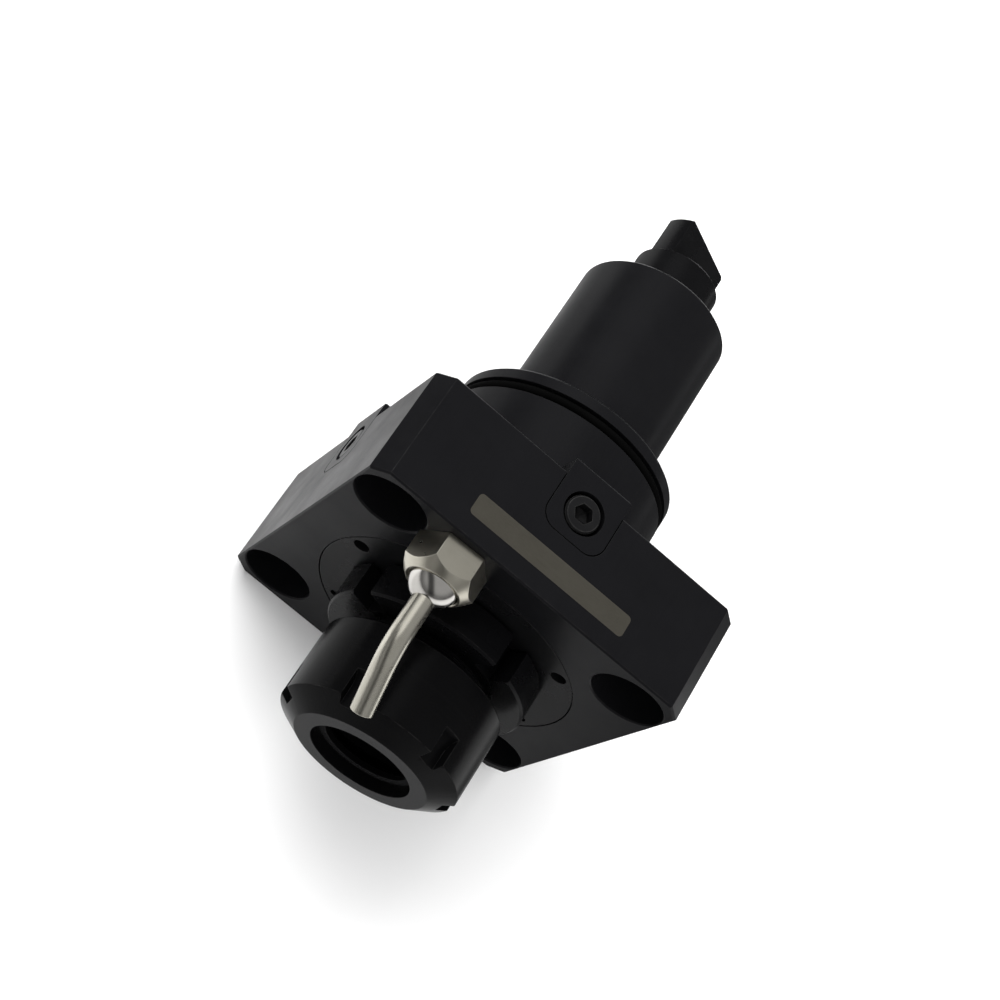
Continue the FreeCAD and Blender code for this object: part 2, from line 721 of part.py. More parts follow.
# Needle bearing that carries the rear of the shaft.
def make_needle_bearing():
    end = f"({S.needle_cup_start} + {S.needle_cup_length})"
    bore = f"({S.tube_bore} / 2)"
    wall = f"({bore} - {S.needle_cup_wall})"
    shaft = f"({S.shaft_diameter} / 2)"
    lip = f"({shaft} + {S.needle_diameter} / 2)"
    wall_end = S.needle_cup_wall
    keep("rear_bearing_cup", turned_body("rear_bearing_cup", [
        (lip, S.needle_cup_start),
        (bore, S.needle_cup_start),
        (bore, end),
        (lip, end),
        (lip, f"{end} - {wall_end}"),
        (wall, f"{end} - {wall_end}"),
        (wall, f"{S.needle_cup_start} + {wall_end}"),
        (lip, f"{S.needle_cup_start} + {wall_end}"),
    ]))
    circle = f"({shaft} + {wall}) / 2"
    first = f"({S.needle_cup_start} + {wall_end} + {S.needle_end_gap})"
    last = f"({end} - {wall_end} - {S.needle_end_gap})"
    half_wall = f"{S.needle_cage_thickness} / 2"
    needles = []
    pockets = []
    for index in range(NEEDLES):
        angle = FULL_TURN * index / NEEDLES
        spot = (f"{circle} * cos({angle})", f"{circle} * sin({angle})")
        size = f"({wall} - {shaft}) / 2 - {S.fit_gap} / 2"
        needles.append(rod(f"needle_{index}", size, first, last, *spot))
        pockets.append(rod(
            f"needle_pocket_{index}", f"({wall} - {shaft}) / 2 + {S.fit_gap}",
            f"{first} - {S.fit_gap}", f"{last} + {S.fit_gap}", *spot))
    keep("rear_bearing_needles", group("rear_bearing_needles", needles))
    blank = turned_body("needle_cage_blank", [
        (f"{circle} - {half_wall}", f"{first} - {S.needle_cage_rim}"),
        (f"{circle} + {half_wall}", f"{first} - {S.needle_cage_rim}"),
        (f"{circle} + {half_wall}", f"{last} + {S.needle_cage_rim}"),
        (f"{circle} - {half_wall}", f"{last} + {S.needle_cage_rim}"),
    ])
    keep("rear_bearing_cage", cut("rear_bearing_cage", blank, pockets))


# Spindle in one piece: collet nose, collar, bearing seats, shaft and drive tang.
def make_spindle():
    body = new_body("spindle_body")
    nose = f"({S.nose_diameter} / 2)"
    collar = f"({S.collar_diameter} / 2)"
    neck = f"({S.neck_diameter} / 2)"
    seat = f"({S.bearing_bore} / 2)"
    shaft = f"({S.shaft_diameter} / 2)"
    tang = f"({S.tang_width} / 2)"
    mouth = f"({S.socket_mouth} / 2)"
    socket_end = f"({NOSE_FRONT} + {S.socket_depth})"
    socket_floor = f"({mouth} - {S.socket_slope} * {S.socket_depth})"
    relief_end = f"({socket_end} + {S.socket_relief})"
    edge = S.collar_chamfer
    turn_profile(body, "spindle_turned", [
        (mouth, NOSE_FRONT),
        (f"{nose} - {S.nose_chamfer}", NOSE_FRONT),
        (nose, f"{NOSE_FRONT} + {S.nose_chamfer}"),
        (nose, COLLAR_FRONT),
        (f"{collar} - {edge}", COLLAR_FRONT),
        (collar, f"{COLLAR_FRONT} + {edge}"),
        (collar, COLLAR_BACK),
        (neck, COLLAR_BACK),
        (neck, BEARING_A),
        (seat, BEARING_A),
        (seat, f"{LOCK_NUT_END} + {S.seat_runout}"),
        (shaft, f"{LOCK_NUT_END} + {S.seat_runout} + {S.cone_length}"),
        (shaft, f"{S.shaft_reach} - {edge}"),
        (f"{shaft} - {edge}", S.shaft_reach),
        (tang, S.shaft_reach),
        (tang, f"{TANG_END} - {S.tang_chamfer}"),
        (f"{tang} - {S.tang_chamfer}", TANG_END),
        (f"{S.centre_hole_diameter} / 2", TANG_END),
        ("0", f"{TANG_END} - {S.centre_hole_depth}"),
        ("0", f"{relief_end} + {socket_floor} * {DRILL_POINT}"),
        (socket_floor, relief_end),
        (socket_floor, socket_end),
    ])
    doc.recompute()

    sketch = new_sketch(body, "notch_sketch", "XZ_Plane", turn=COLLAR_NOTCH_ANGLE)
    half = f"({S.collar_notch_width} / 2)"
    floor = f"({collar} - {S.collar_notch_depth})"
    outline(sketch, [
        (floor, f"-{half}"),
        (f"{collar} + {CLEAR}", f"-{half}"),
        (f"{collar} + {CLEAR}", half),
        (floor, half),
    ])
    sketch.setExpression("AttachmentOffset.Base.z", f"-{COLLAR_BACK}")
    notch = sink(body, "notch", sketch, f"{S.collar_length} + {CLEAR}", reverse=True)
    repeat(body, "collar_notches", notch, COLLAR_NOTCHES)

    flats = new_sketch(body, "tang_sketch", "XZ_Plane", turn=TANG_ANGLE)
    thick = f"({S.tang_thickness} / 2)"
    for sign in (1, -1):
        outline(flats, [
            (f"{sign} * {thick}", f"-{shaft} - {CLEAR}"),
            (f"{sign} * ({shaft} + {CLEAR})", f"-{shaft} - {CLEAR}"),
            (f"{sign} * ({shaft} + {CLEAR})", f"{shaft} + {CLEAR}"),
            (f"{sign} * {thick}", f"{shaft} + {CLEAR}"),
        ])
    flats.setExpression("AttachmentOffset.Base.z", f"-{S.shaft_reach}")
    sink(body, "tang_flats", flats, f"{S.tang_length} + {CLEAR}", reverse=False)
    keep("spindle", body)


def make_lock_nut():
    seat = f"({S.bearing_bore} / 2)"
    outer = f"({S.lock_nut_diameter} / 2)"
    keep("lock_washer", turned_body("lock_washer", [
        (seat, BEARING_END),
        (f"{outer} - {S.lock_washer_inset}", BEARING_END),
        (f"{outer} - {S.lock_washer_inset}", LOCK_NUT_START),
        (seat, LOCK_NUT_START),
    ]))
    body = new_body("bearing_lock_nut")
    turn_profile(body, "lock_nut_turned", [
        (seat, LOCK_NUT_START),
        (outer, LOCK_NUT_START),
        (outer, f"{LOCK_NUT_END} - {S.lock_nut_chamfer}"),
        (f"{outer} - {S.lock_nut_chamfer}", LOCK_NUT_END),
        (seat, LOCK_NUT_END),
    ])
    sketch = new_sketch(body, "lock_nut_slot_sketch", "YZ_Plane")
    slot_floor = f"{outer} - {S.lock_nut_slot_depth}"
    outline(sketch, [
        (f"{LOCK_NUT_START} - {CLEAR}", slot_floor),
        (f"{LOCK_NUT_END} + {CLEAR}", slot_floor),
        (f"{LOCK_NUT_END} + {CLEAR}", f"{outer} + {CLEAR}"),
        (f"{LOCK_NUT_START} - {CLEAR}", f"{outer} + {CLEAR}"),
    ])
    slot = sink(body, "lock_nut_slot", sketch, S.lock_nut_slot)
    slot.Midplane = True
    repeat(body, "lock_nut_slots", slot, LOCK_NUT_SLOTS)
    keep("bearing_lock_nut", body)


# Clamping nut with spanner slots, and the ring inside that pulls the collet out.
RING_FRONT = f"({NUT_FRONT} + {S.nut_lip})"
RING_FLANGE_END = f"({RING_FRONT} + {S.ring_flange})"
RING_BACK = f"({RING_FRONT} + {S.ring_length})"


def make_clamp_nut():
    body = new_body("clamp_nut")
    outer = f"({S.nut_diameter} / 2)"
    face = f"({S.nut_face_diameter} / 2)"
    mouth = f"({S.nut_mouth} / 2)"
    flange = f"({S.ring_diameter} / 2 + {S.running_clearance})"
    neck = f"({S.ring_neck} / 2 + {S.running_clearance})"
    thread = f"({S.nose_diameter} / 2 + {S.running_clearance})"
    rear = S.nut_rear_chamfer
    turn_profile(body, "clamp_nut_turned", [
        (thread, NUT_BACK),
        (f"{outer} - {rear}", NUT_BACK),
        (outer, f"{NUT_BACK} - {rear}"),
        (outer, f"{NUT_FRONT} + {S.nut_bevel_length}"),
        (face, NUT_FRONT),
        (mouth, NUT_FRONT),
        (f"{S.nut_throat} / 2", f"{RING_FRONT} - {S.fit_gap}"),
        (flange, f"{RING_FRONT} - {S.fit_gap}"),
        (flange, f"{RING_FLANGE_END} + {S.fit_gap}"),
        (neck, f"{RING_FLANGE_END} + {S.fit_gap}"),
        (neck, RING_BACK),
        (thread, RING_BACK),
    ])
    # A spanner slot runs out of the front bevel and ends in a cutter's curve.
    sketch = new_sketch(body, "nut_slot_sketch", "YZ_Plane")
    floor = f"({outer} - {S.nut_slot_depth})"
    run_end = f"({NUT_FRONT} + {S.nut_slot_length})"
    cutter = S.nut_slot_cutter
    leave = f"({run_end} + sqrt({cutter} ^ 2 - ({cutter} - {S.nut_slot_depth}) ^ 2))"
    steps = 4
    curve = []
    for step in range(1, steps + 1):
        rise = f"({S.nut_slot_depth} * {(step / steps) ** 2})"
        curve.append((
            f"{run_end} + sqrt({cutter} ^ 2 - ({cutter} - {rise}) ^ 2)",
            f"{floor} + {rise}",
        ))
    outline(sketch, [
        (f"{NUT_FRONT} - {CLEAR}", floor),
        (run_end, floor),
    ] + curve + [
        (leave, f"{outer} + {CLEAR}"),
        (f"{NUT_FRONT} - {CLEAR}", f"{outer} + {CLEAR}"),
    ])
    slot = sink(body, "nut_slot", sketch, S.nut_slot_width)
    slot.Midplane = True
    repeat(body, "nut_slots", slot, NUT_SLOTS)
    turn_about_spindle(body, 90.0 - NUT_SLOT_ANGLE)
    keep("clamp_nut", body)

    hole = f"({S.ring_hole} / 2)"
    ring_flange = f"({S.ring_diameter} / 2)"
    ring_neck = f"({S.ring_neck} / 2)"
    keep("extraction_ring", turned_body("extraction_ring", [
        (hole, RING_FRONT),
        (ring_flange, RING_FRONT),
        (ring_flange, RING_FLANGE_END),
        (ring_neck, RING_FLANGE_END),
        (ring_neck, RING_BACK),
        (f"{hole} + {S.ring_chamfer}", RING_BACK),
        (hole, f"{RING_BACK} - {S.ring_chamfer}"),
    ]))


# Turret keys, one let into each flank, and the cap screws that hold them.
def make_key(label, angle, half_size):
    body = new_body(label + "_body")
    sketch = new_sketch(body, label + "_sketch", "XY_Plane", f"({half_size} - {S.key_height})")
    width = f"({S.key_width} - 2 * {S.fit_gap})"
    key_outline(sketch, width, S.key_stand)
    pad = body.newObject("PartDesign::Pad", label + "_plate")
    pad.Profile = sketch
    pad.setExpression("Length", S.key_height)
    rounded = round_key_corners(body, label + "_corners", pad, width)
    top = [
        f"Edge{index}"
        for index, edge in enumerate(rounded.Shape.Edges, start=1)
        if all(abs(point.y - number_of(S.key_stand)) < 1e-6 for point in
               (vertex.Point for vertex in edge.Vertexes))
    ]
    edge = body.newObject("PartDesign::Chamfer", label + "_edges")
    edge.Base = (rounded, top)
    edge.setExpression("Size", S.key_edge)
    for part_name, diameter, depth in (
            ("counterbore", S.key_counterbore, S.key_counterbore_depth),
            ("clearance", f"({S.key_screw_shank} + {S.key_screw_clearance})", half_size)):
        hole = new_sketch(body, f"{label}_{part_name}_sketch", "XY_Plane", half_size)
        ring_outline(hole, "0", f"-{S.key_screw_place}", f"{diameter} / 2")
        sink(body, f"{label}_{part_name}", hole, depth)
    keep(label, turn_about_spindle(body, angle))


def make_cap_screw(name, angle, half_size):
    """One cap screw, turned about its own axis and set square to a flank."""
    body = new_body(name)
    head = f"({S.key_screw_head} / 2)"
    shank = f"({S.key_screw_shank} / 2)"
    top = f"({half_size} - {S.key_counterbore_depth} + {S.key_screw_head_height})"
    rest = f"({half_size} - {S.key_counterbore_depth})"
    tip = f"({rest} - {S.key_screw_length})"
    sketch = new_sketch(body, name + "_profile", "YZ_Plane")
    axis = f"(-{S.key_screw_place})"
    outline(sketch, [
        (axis, tip),
        (f"{axis} + {shank} - {S.key_screw_tip}", tip),
        (f"{axis} + {shank}", f"{tip} + {S.key_screw_tip}"),
        (f"{axis} + {shank}", rest),
        (f"{axis} + {head}", rest),
        (f"{axis} + {head}", f"{top} - {S.key_screw_edge}"),
        (f"{axis} + {head} - {S.key_screw_edge}", top),
        (axis, top),
    ])
    axis_edge = f"Edge{sketch.GeometryCount}"
    turned = body.newObject("PartDesign::Revolution", name + "_turned")
    turned.Profile = sketch
    turned.ReferenceAxis = (sketch, [axis_edge])
    turned.Angle = FULL_TURN
    socket = new_sketch(body, name + "_socket_sketch", "XY_Plane", top)
    corner = f"({S.key_screw_socket} / sqrt(3))"
    outline(socket, [
        (f"{corner} * cos({60 * step})", f"{axis} + {corner} * sin({60 * step})")
        for step in range(6)
    ])
    sink(body, name + "_socket", socket, S.key_screw_socket_depth)
    return turn_about_spindle(body, angle)


def make_keys():
    flanks = (
        ("top", 0.0, HALF_HEIGHT),
        ("right", 90.0, HALF_WIDTH),
        ("bottom", 180.0, HALF_HEIGHT),
        ("left", 270.0, HALF_WIDTH),
    )
    screws = []
    for side, angle, half_size in flanks:
        make_key(f"key_{side}", angle, half_size)
        screws.append(make_cap_screw(f"key_screw_{side}", angle, half_size))
    keep("key_screws", group("key_screws", screws))


# Coolant outlet: threaded seat, hexagon nut, sealing ring, ball and bent tube.
def at_nozzle(item):
    return place(item, f"-{S.nozzle_side}", "0", S.nozzle_height)


def make_nozzle():
    outer = f"({S.seat_diameter} / 2)"
    bore = f"({S.seat_bore} / 2)"
    cup = f"({S.seat_cup} / 2)"
    seat_start = f"({FACE_FRONT} + {S.seat_depth})"
    thread = f"({S.seat_thread} / 2)"
    cup_floor = f"({FACE_FRONT} - {S.seat_base})"
    cup_mouth = f"({cup_floor} - {S.seat_cup_depth})"
    keep("nozzle_seat", at_nozzle(turned_body("nozzle_seat", [
        (bore, seat_start),
        (thread, seat_start),
        (thread, FACE_FRONT),
        (outer, FACE_FRONT),
        (outer, cup_mouth),
        (cup, cup_mouth),
        (cup, cup_floor),
        (bore, cup_floor),
    ])))

    ball = f"({S.nozzle_ball} / 2)"
    cone = f"({BALL_CENTRE} + ({ball} + {S.running_clearance}) * sqrt(2))"
    ring_in = f"({S.nozzle_seal_bore} / 2)"
    ring_out = f"({cup} - {S.running_clearance})"
    keep("nozzle_seal", at_nozzle(turned_body("nozzle_seal", [
        (ring_in, f"{cup_floor} - {S.fit_gap}"),
        (ring_out, f"{cup_floor} - {S.fit_gap}"),
        (ring_out, f"{cone} - {ring_out}"),
        (ring_in, f"{cone} - {ring_in}"),
    ])))

    nut = new_body("nozzle_nut")
    nut_front = f"({FACE_FRONT} - {S.nozzle_nut_height})"
    corner = f"({S.nozzle_nut_flats} / sqrt(3))"
    sketch = new_sketch(nut, "nozzle_nut_sketch", "XZ_Plane", f"-{FACE_FRONT}", NOZZLE_NUT_ANGLE)
    outline(sketch, [
        (f"{corner} * cos({60 * step})", f"{corner} * sin({60 * step})") for step in range(6)
    ])
    pad = nut.newObject("PartDesign::Pad", "nozzle_nut_hexagon")
    pad.Profile = sketch
    pad.setExpression("Length", S.nozzle_nut_height)
    doc.recompute()
    rim = f"({S.nozzle_nut_rim} / 2)"
    beyond = f"({corner} + {CLEAR})"
    slope = f"(({beyond} - {rim}) * {S.nozzle_nut_corner} / ({corner} - {rim}))"
    turn_profile(nut, "nozzle_nut_chamfer", [
        (rim, nut_front),
        (rim, f"{nut_front} - {CLEAR}"),
        (beyond, f"{nut_front} - {CLEAR}"),
        (beyond, f"{nut_front} + {slope}"),
    ], "PartDesign::Groove")
    # The inner cone touches the ball at the grip angle ahead of its middle and so holds it in.
    touch = f"({ball} + {S.running_clearance})"
    reach = f"({S.nozzle_nut_height} - {S.nozzle_ball_reach} - {S.nozzle_nut_lip})"
    mouth = f"(({touch} - {reach} * sin({S.nozzle_nut_grip})) / cos({S.nozzle_nut_grip}))"
    behind = f"(({outer} * cos({S.nozzle_nut_grip}) - {touch}) / sin({S.nozzle_nut_grip}))"
    turn_profile(nut, "nozzle_nut_bore", [
        ("0", f"{nut_front} - {CLEAR}"),
        (f"{mouth} + {S.nozzle_nut_lip} + {CLEAR}", f"{nut_front} - {CLEAR}"),
        (mouth, f"{nut_front} + {S.nozzle_nut_lip}"),
        (outer, f"{BALL_CENTRE} + {behind}"),
        (outer, f"{FACE_FRONT} + {CLEAR}"),
        ("0", f"{FACE_FRONT} + {CLEAR}"),
    ], "PartDesign::Groove")
    keep("nozzle_nut", at_nozzle(nut))

    sphere = doc.addObject("Part::Sphere", "nozzle_ball_blank")
    sphere.setExpression("Radius", ball)
    place(sphere, f"-{S.nozzle_side}", BALL_CENTRE, S.nozzle_height)
    tube = f"({S.nozzle_tube} / 2)"
    passage = f"({tube} - {S.nozzle_tube_wall})"
    x = f"-{S.nozzle_side}"
    z = S.nozzle_height
    before = f"{BALL_CENTRE} - {ball} - {CLEAR}"
    behind = f"{BALL_CENTRE} + {ball} + {CLEAR}"
    socket = rod("ball_socket", tube, before, BALL_CENTRE, x, z)
    drilling = rod("ball_drilling", passage, before, behind, x, z)
    keep("nozzle_ball", cut("nozzle_ball", sphere, [socket, drilling]))
    make_nozzle_tube(tube, passage)


def make_nozzle_tube(tube, passage):
    """A bent tube: straight out of the ball, then leaning in towards the spindle axis."""
    body = new_body("nozzle_tube")
    path = new_sketch(body, "nozzle_path", "YZ_Plane")
    bend = number_of(S.nozzle_bend_angle)
    shorten = f"({S.nozzle_bend_radius} * tan({S.nozzle_bend_angle} / 2))"
    begin = ("0", "0")
    leave = (f"-({S.nozzle_straight} - {shorten})", "0")
    arrive = (
        f"-({S.nozzle_straight} + {shorten} * cos({S.nozzle_bend_angle}))",
        f"-{shorten} * sin({S.nozzle_bend_angle})",
    )
    tip = (
        f"-({S.nozzle_straight} + {S.nozzle_tip} * cos({S.nozzle_bend_angle}))",
        f"-{S.nozzle_tip} * sin({S.nozzle_bend_angle})",
    )
    spots = [
        FreeCAD.Vector(number_of(a), number_of(b), 0) for a, b in (begin, leave, arrive, tip)
    ]
    radius = number_of(S.nozzle_bend_radius)
    half = FreeCAD.Rotation(ALONG_Z, bend / 2)
    centre = FreeCAD.Vector(spots[1].x, -radius, 0)
    middle = centre + half.multVec(FreeCAD.Vector(0, radius, 0))
    path.addGeometry(Part.LineSegment(spots[0], spots[1]), False)
    path.addGeometry(Part.Arc(spots[1], middle, spots[2]), False)
    path.addGeometry(Part.LineSegment(spots[2], spots[3]), False)
    arc = path.Geometry[1]
    starts_here = arc.StartPoint.distanceToPoint(spots[1]) < 1e-6
    first_end, last_end = (1, 2) if starts_here else (2, 1)
    path.addConstraint(Sketcher.Constraint("Coincident", 0, 2, 1, first_end))
    path.addConstraint(Sketcher.Constraint("Coincident", 1, last_end, 2, 1))
    pin_point(path, 0, 1, *begin)
    pin_point(path, 0, 2, *leave)
    pin_point(path, 2, 1, *arrive)
    pin_point(path, 2, 2, *tip)
    rule = path.addConstraint(Sketcher.Constraint("Radius", 1, radius))
    path.setExpression(f"Constraints[{rule}]", S.nozzle_bend_radius)
    section = new_sketch(body, "nozzle_section", "XZ_Plane")
    ring_outline(section, "0", "0", tube)
    ring_outline(section, "0", "0", passage)
    doc.recompute()
    pipe = body.newObject("PartDesign::AdditivePipe", "nozzle_pipe")
    pipe.Profile = section
    pipe.Spine = path
    body.Placement = FreeCAD.Placement(ORIGIN, FreeCAD.Rotation(-ALONG_Y, 1))
    place(body, f"-{S.nozzle_side}", BALL_CENTRE, S.nozzle_height)
    lean = f"atan({S.nozzle_side} / {S.nozzle_height})"
    body.setExpression("Placement.Rotation.Angle", lean)
    keep("nozzle_tube", body)


make_housing()
make_seals()
make_cover()
make_ball_bearing("front_bearing", BEARING_A)
make_ball_bearing("middle_bearing", BEARING_B)
make_spacers()
make_needle_bearing()
make_spindle()
make_lock_nut()
make_clamp_nut()
make_keys()
make_nozzle()
doc.recompute()

for item in doc.Objects:
    if "Invalid" in item.State or "Error" in item.State:
        raise RuntimeError(f"{item.Name} failed: {item.State}")
for piece in pieces:
    if piece.Shape.isNull() or not piece.Shape.isValid():
        raise RuntimeError(f"{piece.Label} has no sound shape")

os.makedirs("parts", exist_ok=True)
for piece in pieces:
    piece.Shape.exportStep(f"parts/{piece.Label}.step")
    box = piece.Shape.BoundBox
    print(f"{piece.Label}: {len(piece.Shape.Solids)} solids, {piece.Shape.Volume:.0f} mm3,"
          f" y {box.YMin:.2f} to {box.YMax:.2f}")
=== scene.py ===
# %% [markdown]
# # A driven tool holder, dressed for a photograph
# The part comes from CAD with its true sizes and its moving bodies. This script gives it
# what CAD leaves out: softened edges, threads, surface grain, wear, light and a camera.
# Each step says what the real thing is, how it could be made here, and why this way won.

import json
import math

import bmesh
import bpy
from mathutils import Matrix, Vector


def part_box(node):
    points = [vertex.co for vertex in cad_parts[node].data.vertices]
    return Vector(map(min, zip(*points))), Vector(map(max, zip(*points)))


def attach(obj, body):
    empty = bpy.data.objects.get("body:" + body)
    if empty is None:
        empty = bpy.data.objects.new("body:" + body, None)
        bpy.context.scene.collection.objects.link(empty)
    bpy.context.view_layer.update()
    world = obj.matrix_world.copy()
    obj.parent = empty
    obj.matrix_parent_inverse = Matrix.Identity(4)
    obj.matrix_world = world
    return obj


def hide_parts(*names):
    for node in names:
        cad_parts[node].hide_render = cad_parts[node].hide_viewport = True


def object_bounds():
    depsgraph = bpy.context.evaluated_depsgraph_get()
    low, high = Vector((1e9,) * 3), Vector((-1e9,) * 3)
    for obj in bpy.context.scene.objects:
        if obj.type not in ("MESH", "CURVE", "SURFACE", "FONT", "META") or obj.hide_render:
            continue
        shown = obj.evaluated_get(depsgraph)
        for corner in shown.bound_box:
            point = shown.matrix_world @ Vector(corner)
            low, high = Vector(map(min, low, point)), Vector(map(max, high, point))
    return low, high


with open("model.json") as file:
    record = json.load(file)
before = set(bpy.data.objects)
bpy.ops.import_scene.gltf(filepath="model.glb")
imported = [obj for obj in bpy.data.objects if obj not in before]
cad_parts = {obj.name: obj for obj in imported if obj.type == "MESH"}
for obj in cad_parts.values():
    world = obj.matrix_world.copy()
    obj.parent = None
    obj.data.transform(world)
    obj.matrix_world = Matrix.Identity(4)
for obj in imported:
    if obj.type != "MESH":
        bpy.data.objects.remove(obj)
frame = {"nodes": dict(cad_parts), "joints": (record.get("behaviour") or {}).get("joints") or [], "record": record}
nodes = frame["nodes"]
cad_box = [list(corner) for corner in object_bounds()]
MM = 0.001
print("nodes:", len(nodes), "box:", cad_box)

# %% [markdown]
# ## Camera
# The photograph was taken from in front, above and a little to the left of the spindle,
# with the camera rolled so that the spindle rises to the right. A camera can be set by
# eye, but here its place and its three directions were fitted to the holder's edges and
# circles, so the render lines up with the photograph and differences stand out.

# %% Camera
CAMERA_PLACE = Vector((-97.63, -203.50, 384.90)) * MM
LOOKS_RIGHT = Vector((0.7482, 0.4902, 0.4470))
LOOKS_DOWN = Vector((0.6313, -0.7332, -0.2527))
LOOKS_FORWARD = Vector((0.2039, 0.4713, -0.8581))
SENSOR_WIDTH = 36.0
FOCAL_SHARE = 2.00527

camera_data = bpy.data.cameras.new("photo_camera")
camera_data.sensor_width = SENSOR_WIDTH
camera_data.lens = SENSOR_WIDTH * FOCAL_SHARE
camera_data.clip_start = 0.01
camera_data.clip_end = 10
camera = bpy.data.objects.new("photo_camera", camera_data)
turn = Matrix((LOOKS_RIGHT, -LOOKS_DOWN, -LOOKS_FORWARD)).transposed()
camera.matrix_world = Matrix.Translation(CAMERA_PLACE) @ turn.to_4x4()
bpy.context.scene.collection.objects.link(camera)
bpy.context.scene.camera = camera
bpy.context.scene.view_settings.view_transform = "Standard"
print("lens", round(camera_data.lens, 2), "mm")

# %% [markdown]
# ## Small helpers for nodes
# Every material and the tent are built from the same few bricks: a sum or a product, a
# soft change from one number to another, and a mix of two colours. Each could be typed
# out where it is needed, but then a reader loses the thread, so they are named here once.

# %% Node helpers
def math_node(tree, operation, first, second=None):
    """A math node fed by sockets or plain numbers; returns its output."""
    node = tree.nodes.new("ShaderNodeMath")
    node.operation = operation
    for index, value in enumerate((first, second)):
        if value is None:
            continue
        if isinstance(value, (int, float)):
            node.inputs[index].default_value = value
        else:
            tree.links.new(value, node.inputs[index])
    return node.outputs[0]


def product(tree, *values):
    """Several sockets or numbers multiplied together."""
    result = values[0]
    for value in values[1:]:
        result = math_node(tree, "MULTIPLY", result, value)
    return result


def soft_step(tree, value, start, end, first, last):
    """first up to start, then a soft change to last at end."""
    step = tree.nodes.new("ShaderNodeMapRange")
    step.interpolation_type = "SMOOTHSTEP"
    step.inputs["From Min"].default_value = start
    step.inputs["From Max"].default_value = end
    step.inputs["To Min"].default_value = first
    step.inputs["To Max"].default_value = last
    tree.links.new(value, step.inputs["Value"])
    return step.outputs[0]


def mix_colours(tree, share, first, second):
    """Colour mix; first and second are sockets or RGB triples."""
    mix = tree.nodes.new("ShaderNodeMix")
    mix.data_type = "RGBA"
    tree.links.new(share, mix.inputs["Factor"])
    for name, value in (("A", first), ("B", second)):
        socket = next(s for s in mix.inputs if s.name == name and s.type == "RGBA")
        if isinstance(value, tuple):
            socket.default_value = (*value, 1)
        else:
            tree.links.new(value, socket)
    return next(s for s in mix.outputs if s.type == "RGBA")


# %% [markdown]
# ## Floor
# A small black part is photographed on a white sweep with a black card or two just out of
# the picture, and with its own shadow on the paper beside it. Shadow and cards keep the far
# side of black rounds dark. A real card beside the holder would stand in the picture from
# other sides, so here the paper itself is painted with shade instead: it turns grey round the
# holder, most to its right and on a slanted strip that runs away from it there, and only
# for rays that a glossy surface mirrors.

# %% Floor
FLOOR_HEIGHT = cad_box[0][2]
FLOOR_REACH = 3.0


def plain_object(name, bm):
    """Turns a bmesh into an object with its place in its mesh."""
    mesh = bpy.data.meshes.new(name)
    bm.to_mesh(mesh)
    bm.free()
    made = bpy.data.objects.new(name, mesh)
    bpy.context.scene.collection.objects.link(made)
    return made


sweep = bmesh.new()
bmesh.ops.create_grid(sweep, x_segments=1, y_segments=1, size=FLOOR_REACH)
bmesh.ops.translate(sweep, verts=sweep.verts, vec=(0, 0, FLOOR_HEIGHT))
floor = plain_object("floor", sweep)

print("floor at", round(FLOOR_HEIGHT / MM, 2), "mm")

# %% Paper with painted shade that only reflections see
PAPER = (0.93, 0.93, 0.93)
# The grey of the painted shade, which only mirrored rays see.
SHADE_GREY = (0.04, 0.04, 0.04)
SIDEWAYS_TURN = 0.5
STRIP_SLOPE = 0.4
# Each edge of the painted shade: where it starts and ends, in metres, and the value on each side.
RIGHT_EDGE = (0.005, 0.055, 1.0, 0.10)
BACK_EDGE = (-0.020, 0.050, 1.0, 0.62)
FRONT_EDGE = (-0.080, -0.040, 0.70, 1.0)
NEAR_BACK = (0.120, 0.160, 1.0, 0.0)
NEAR_RIGHT = (0.080, 0.130, 1.0, 0.0)
STRIP_EDGE = (-0.015, 0.005, 0.0, 1.0)
STRIP_START = (0.000, 0.060, 0.0, 1.0)
STRIP_END = (0.400, 0.500, 1.0, 0.0)
STRIP_BACK = (0.220, 0.320, 1.0, 0.0)

paper = bpy.data.materials.new("floor_paper")
paper.use_nodes = True
paper_tree = paper.node_tree
paper_shader = paper_tree.nodes["Principled BSDF"]
paper_shader.inputs["Roughness"].default_value = 0.9
paper_shader.inputs["Specular IOR Level"].default_value = 0.1
paper_place = paper_tree.nodes.new("ShaderNodeTexCoord")
paper_parts = paper_tree.nodes.new("ShaderNodeSeparateXYZ")
paper_tree.links.new(paper_place.outputs["Object"], paper_parts.inputs[0])
floor_x, floor_y = paper_parts.outputs["X"], paper_parts.outputs["Y"]
sideways = math_node(
    paper_tree, "ADD", floor_x, math_node(paper_tree, "MULTIPLY", floor_y, SIDEWAYS_TURN))
slanted = math_node(
    paper_tree, "SUBTRACT", floor_y, math_node(paper_tree, "MULTIPLY", floor_x, STRIP_SLOPE))
near = product(paper_tree, soft_step(paper_tree, floor_y, *NEAR_BACK),
               soft_step(paper_tree, floor_x, *NEAR_RIGHT))
far = product(paper_tree, soft_step(paper_tree, slanted, *STRIP_EDGE),
              soft_step(paper_tree, floor_x, *STRIP_START),
              soft_step(paper_tree, floor_x, *STRIP_END),
              soft_step(paper_tree, floor_y, *STRIP_BACK))
unshaded_share = product(paper_tree, soft_step(paper_tree, floor_y, *FRONT_EDGE),
                     soft_step(paper_tree, sideways, *RIGHT_EDGE),
                     soft_step(paper_tree, floor_y, *BACK_EDGE))
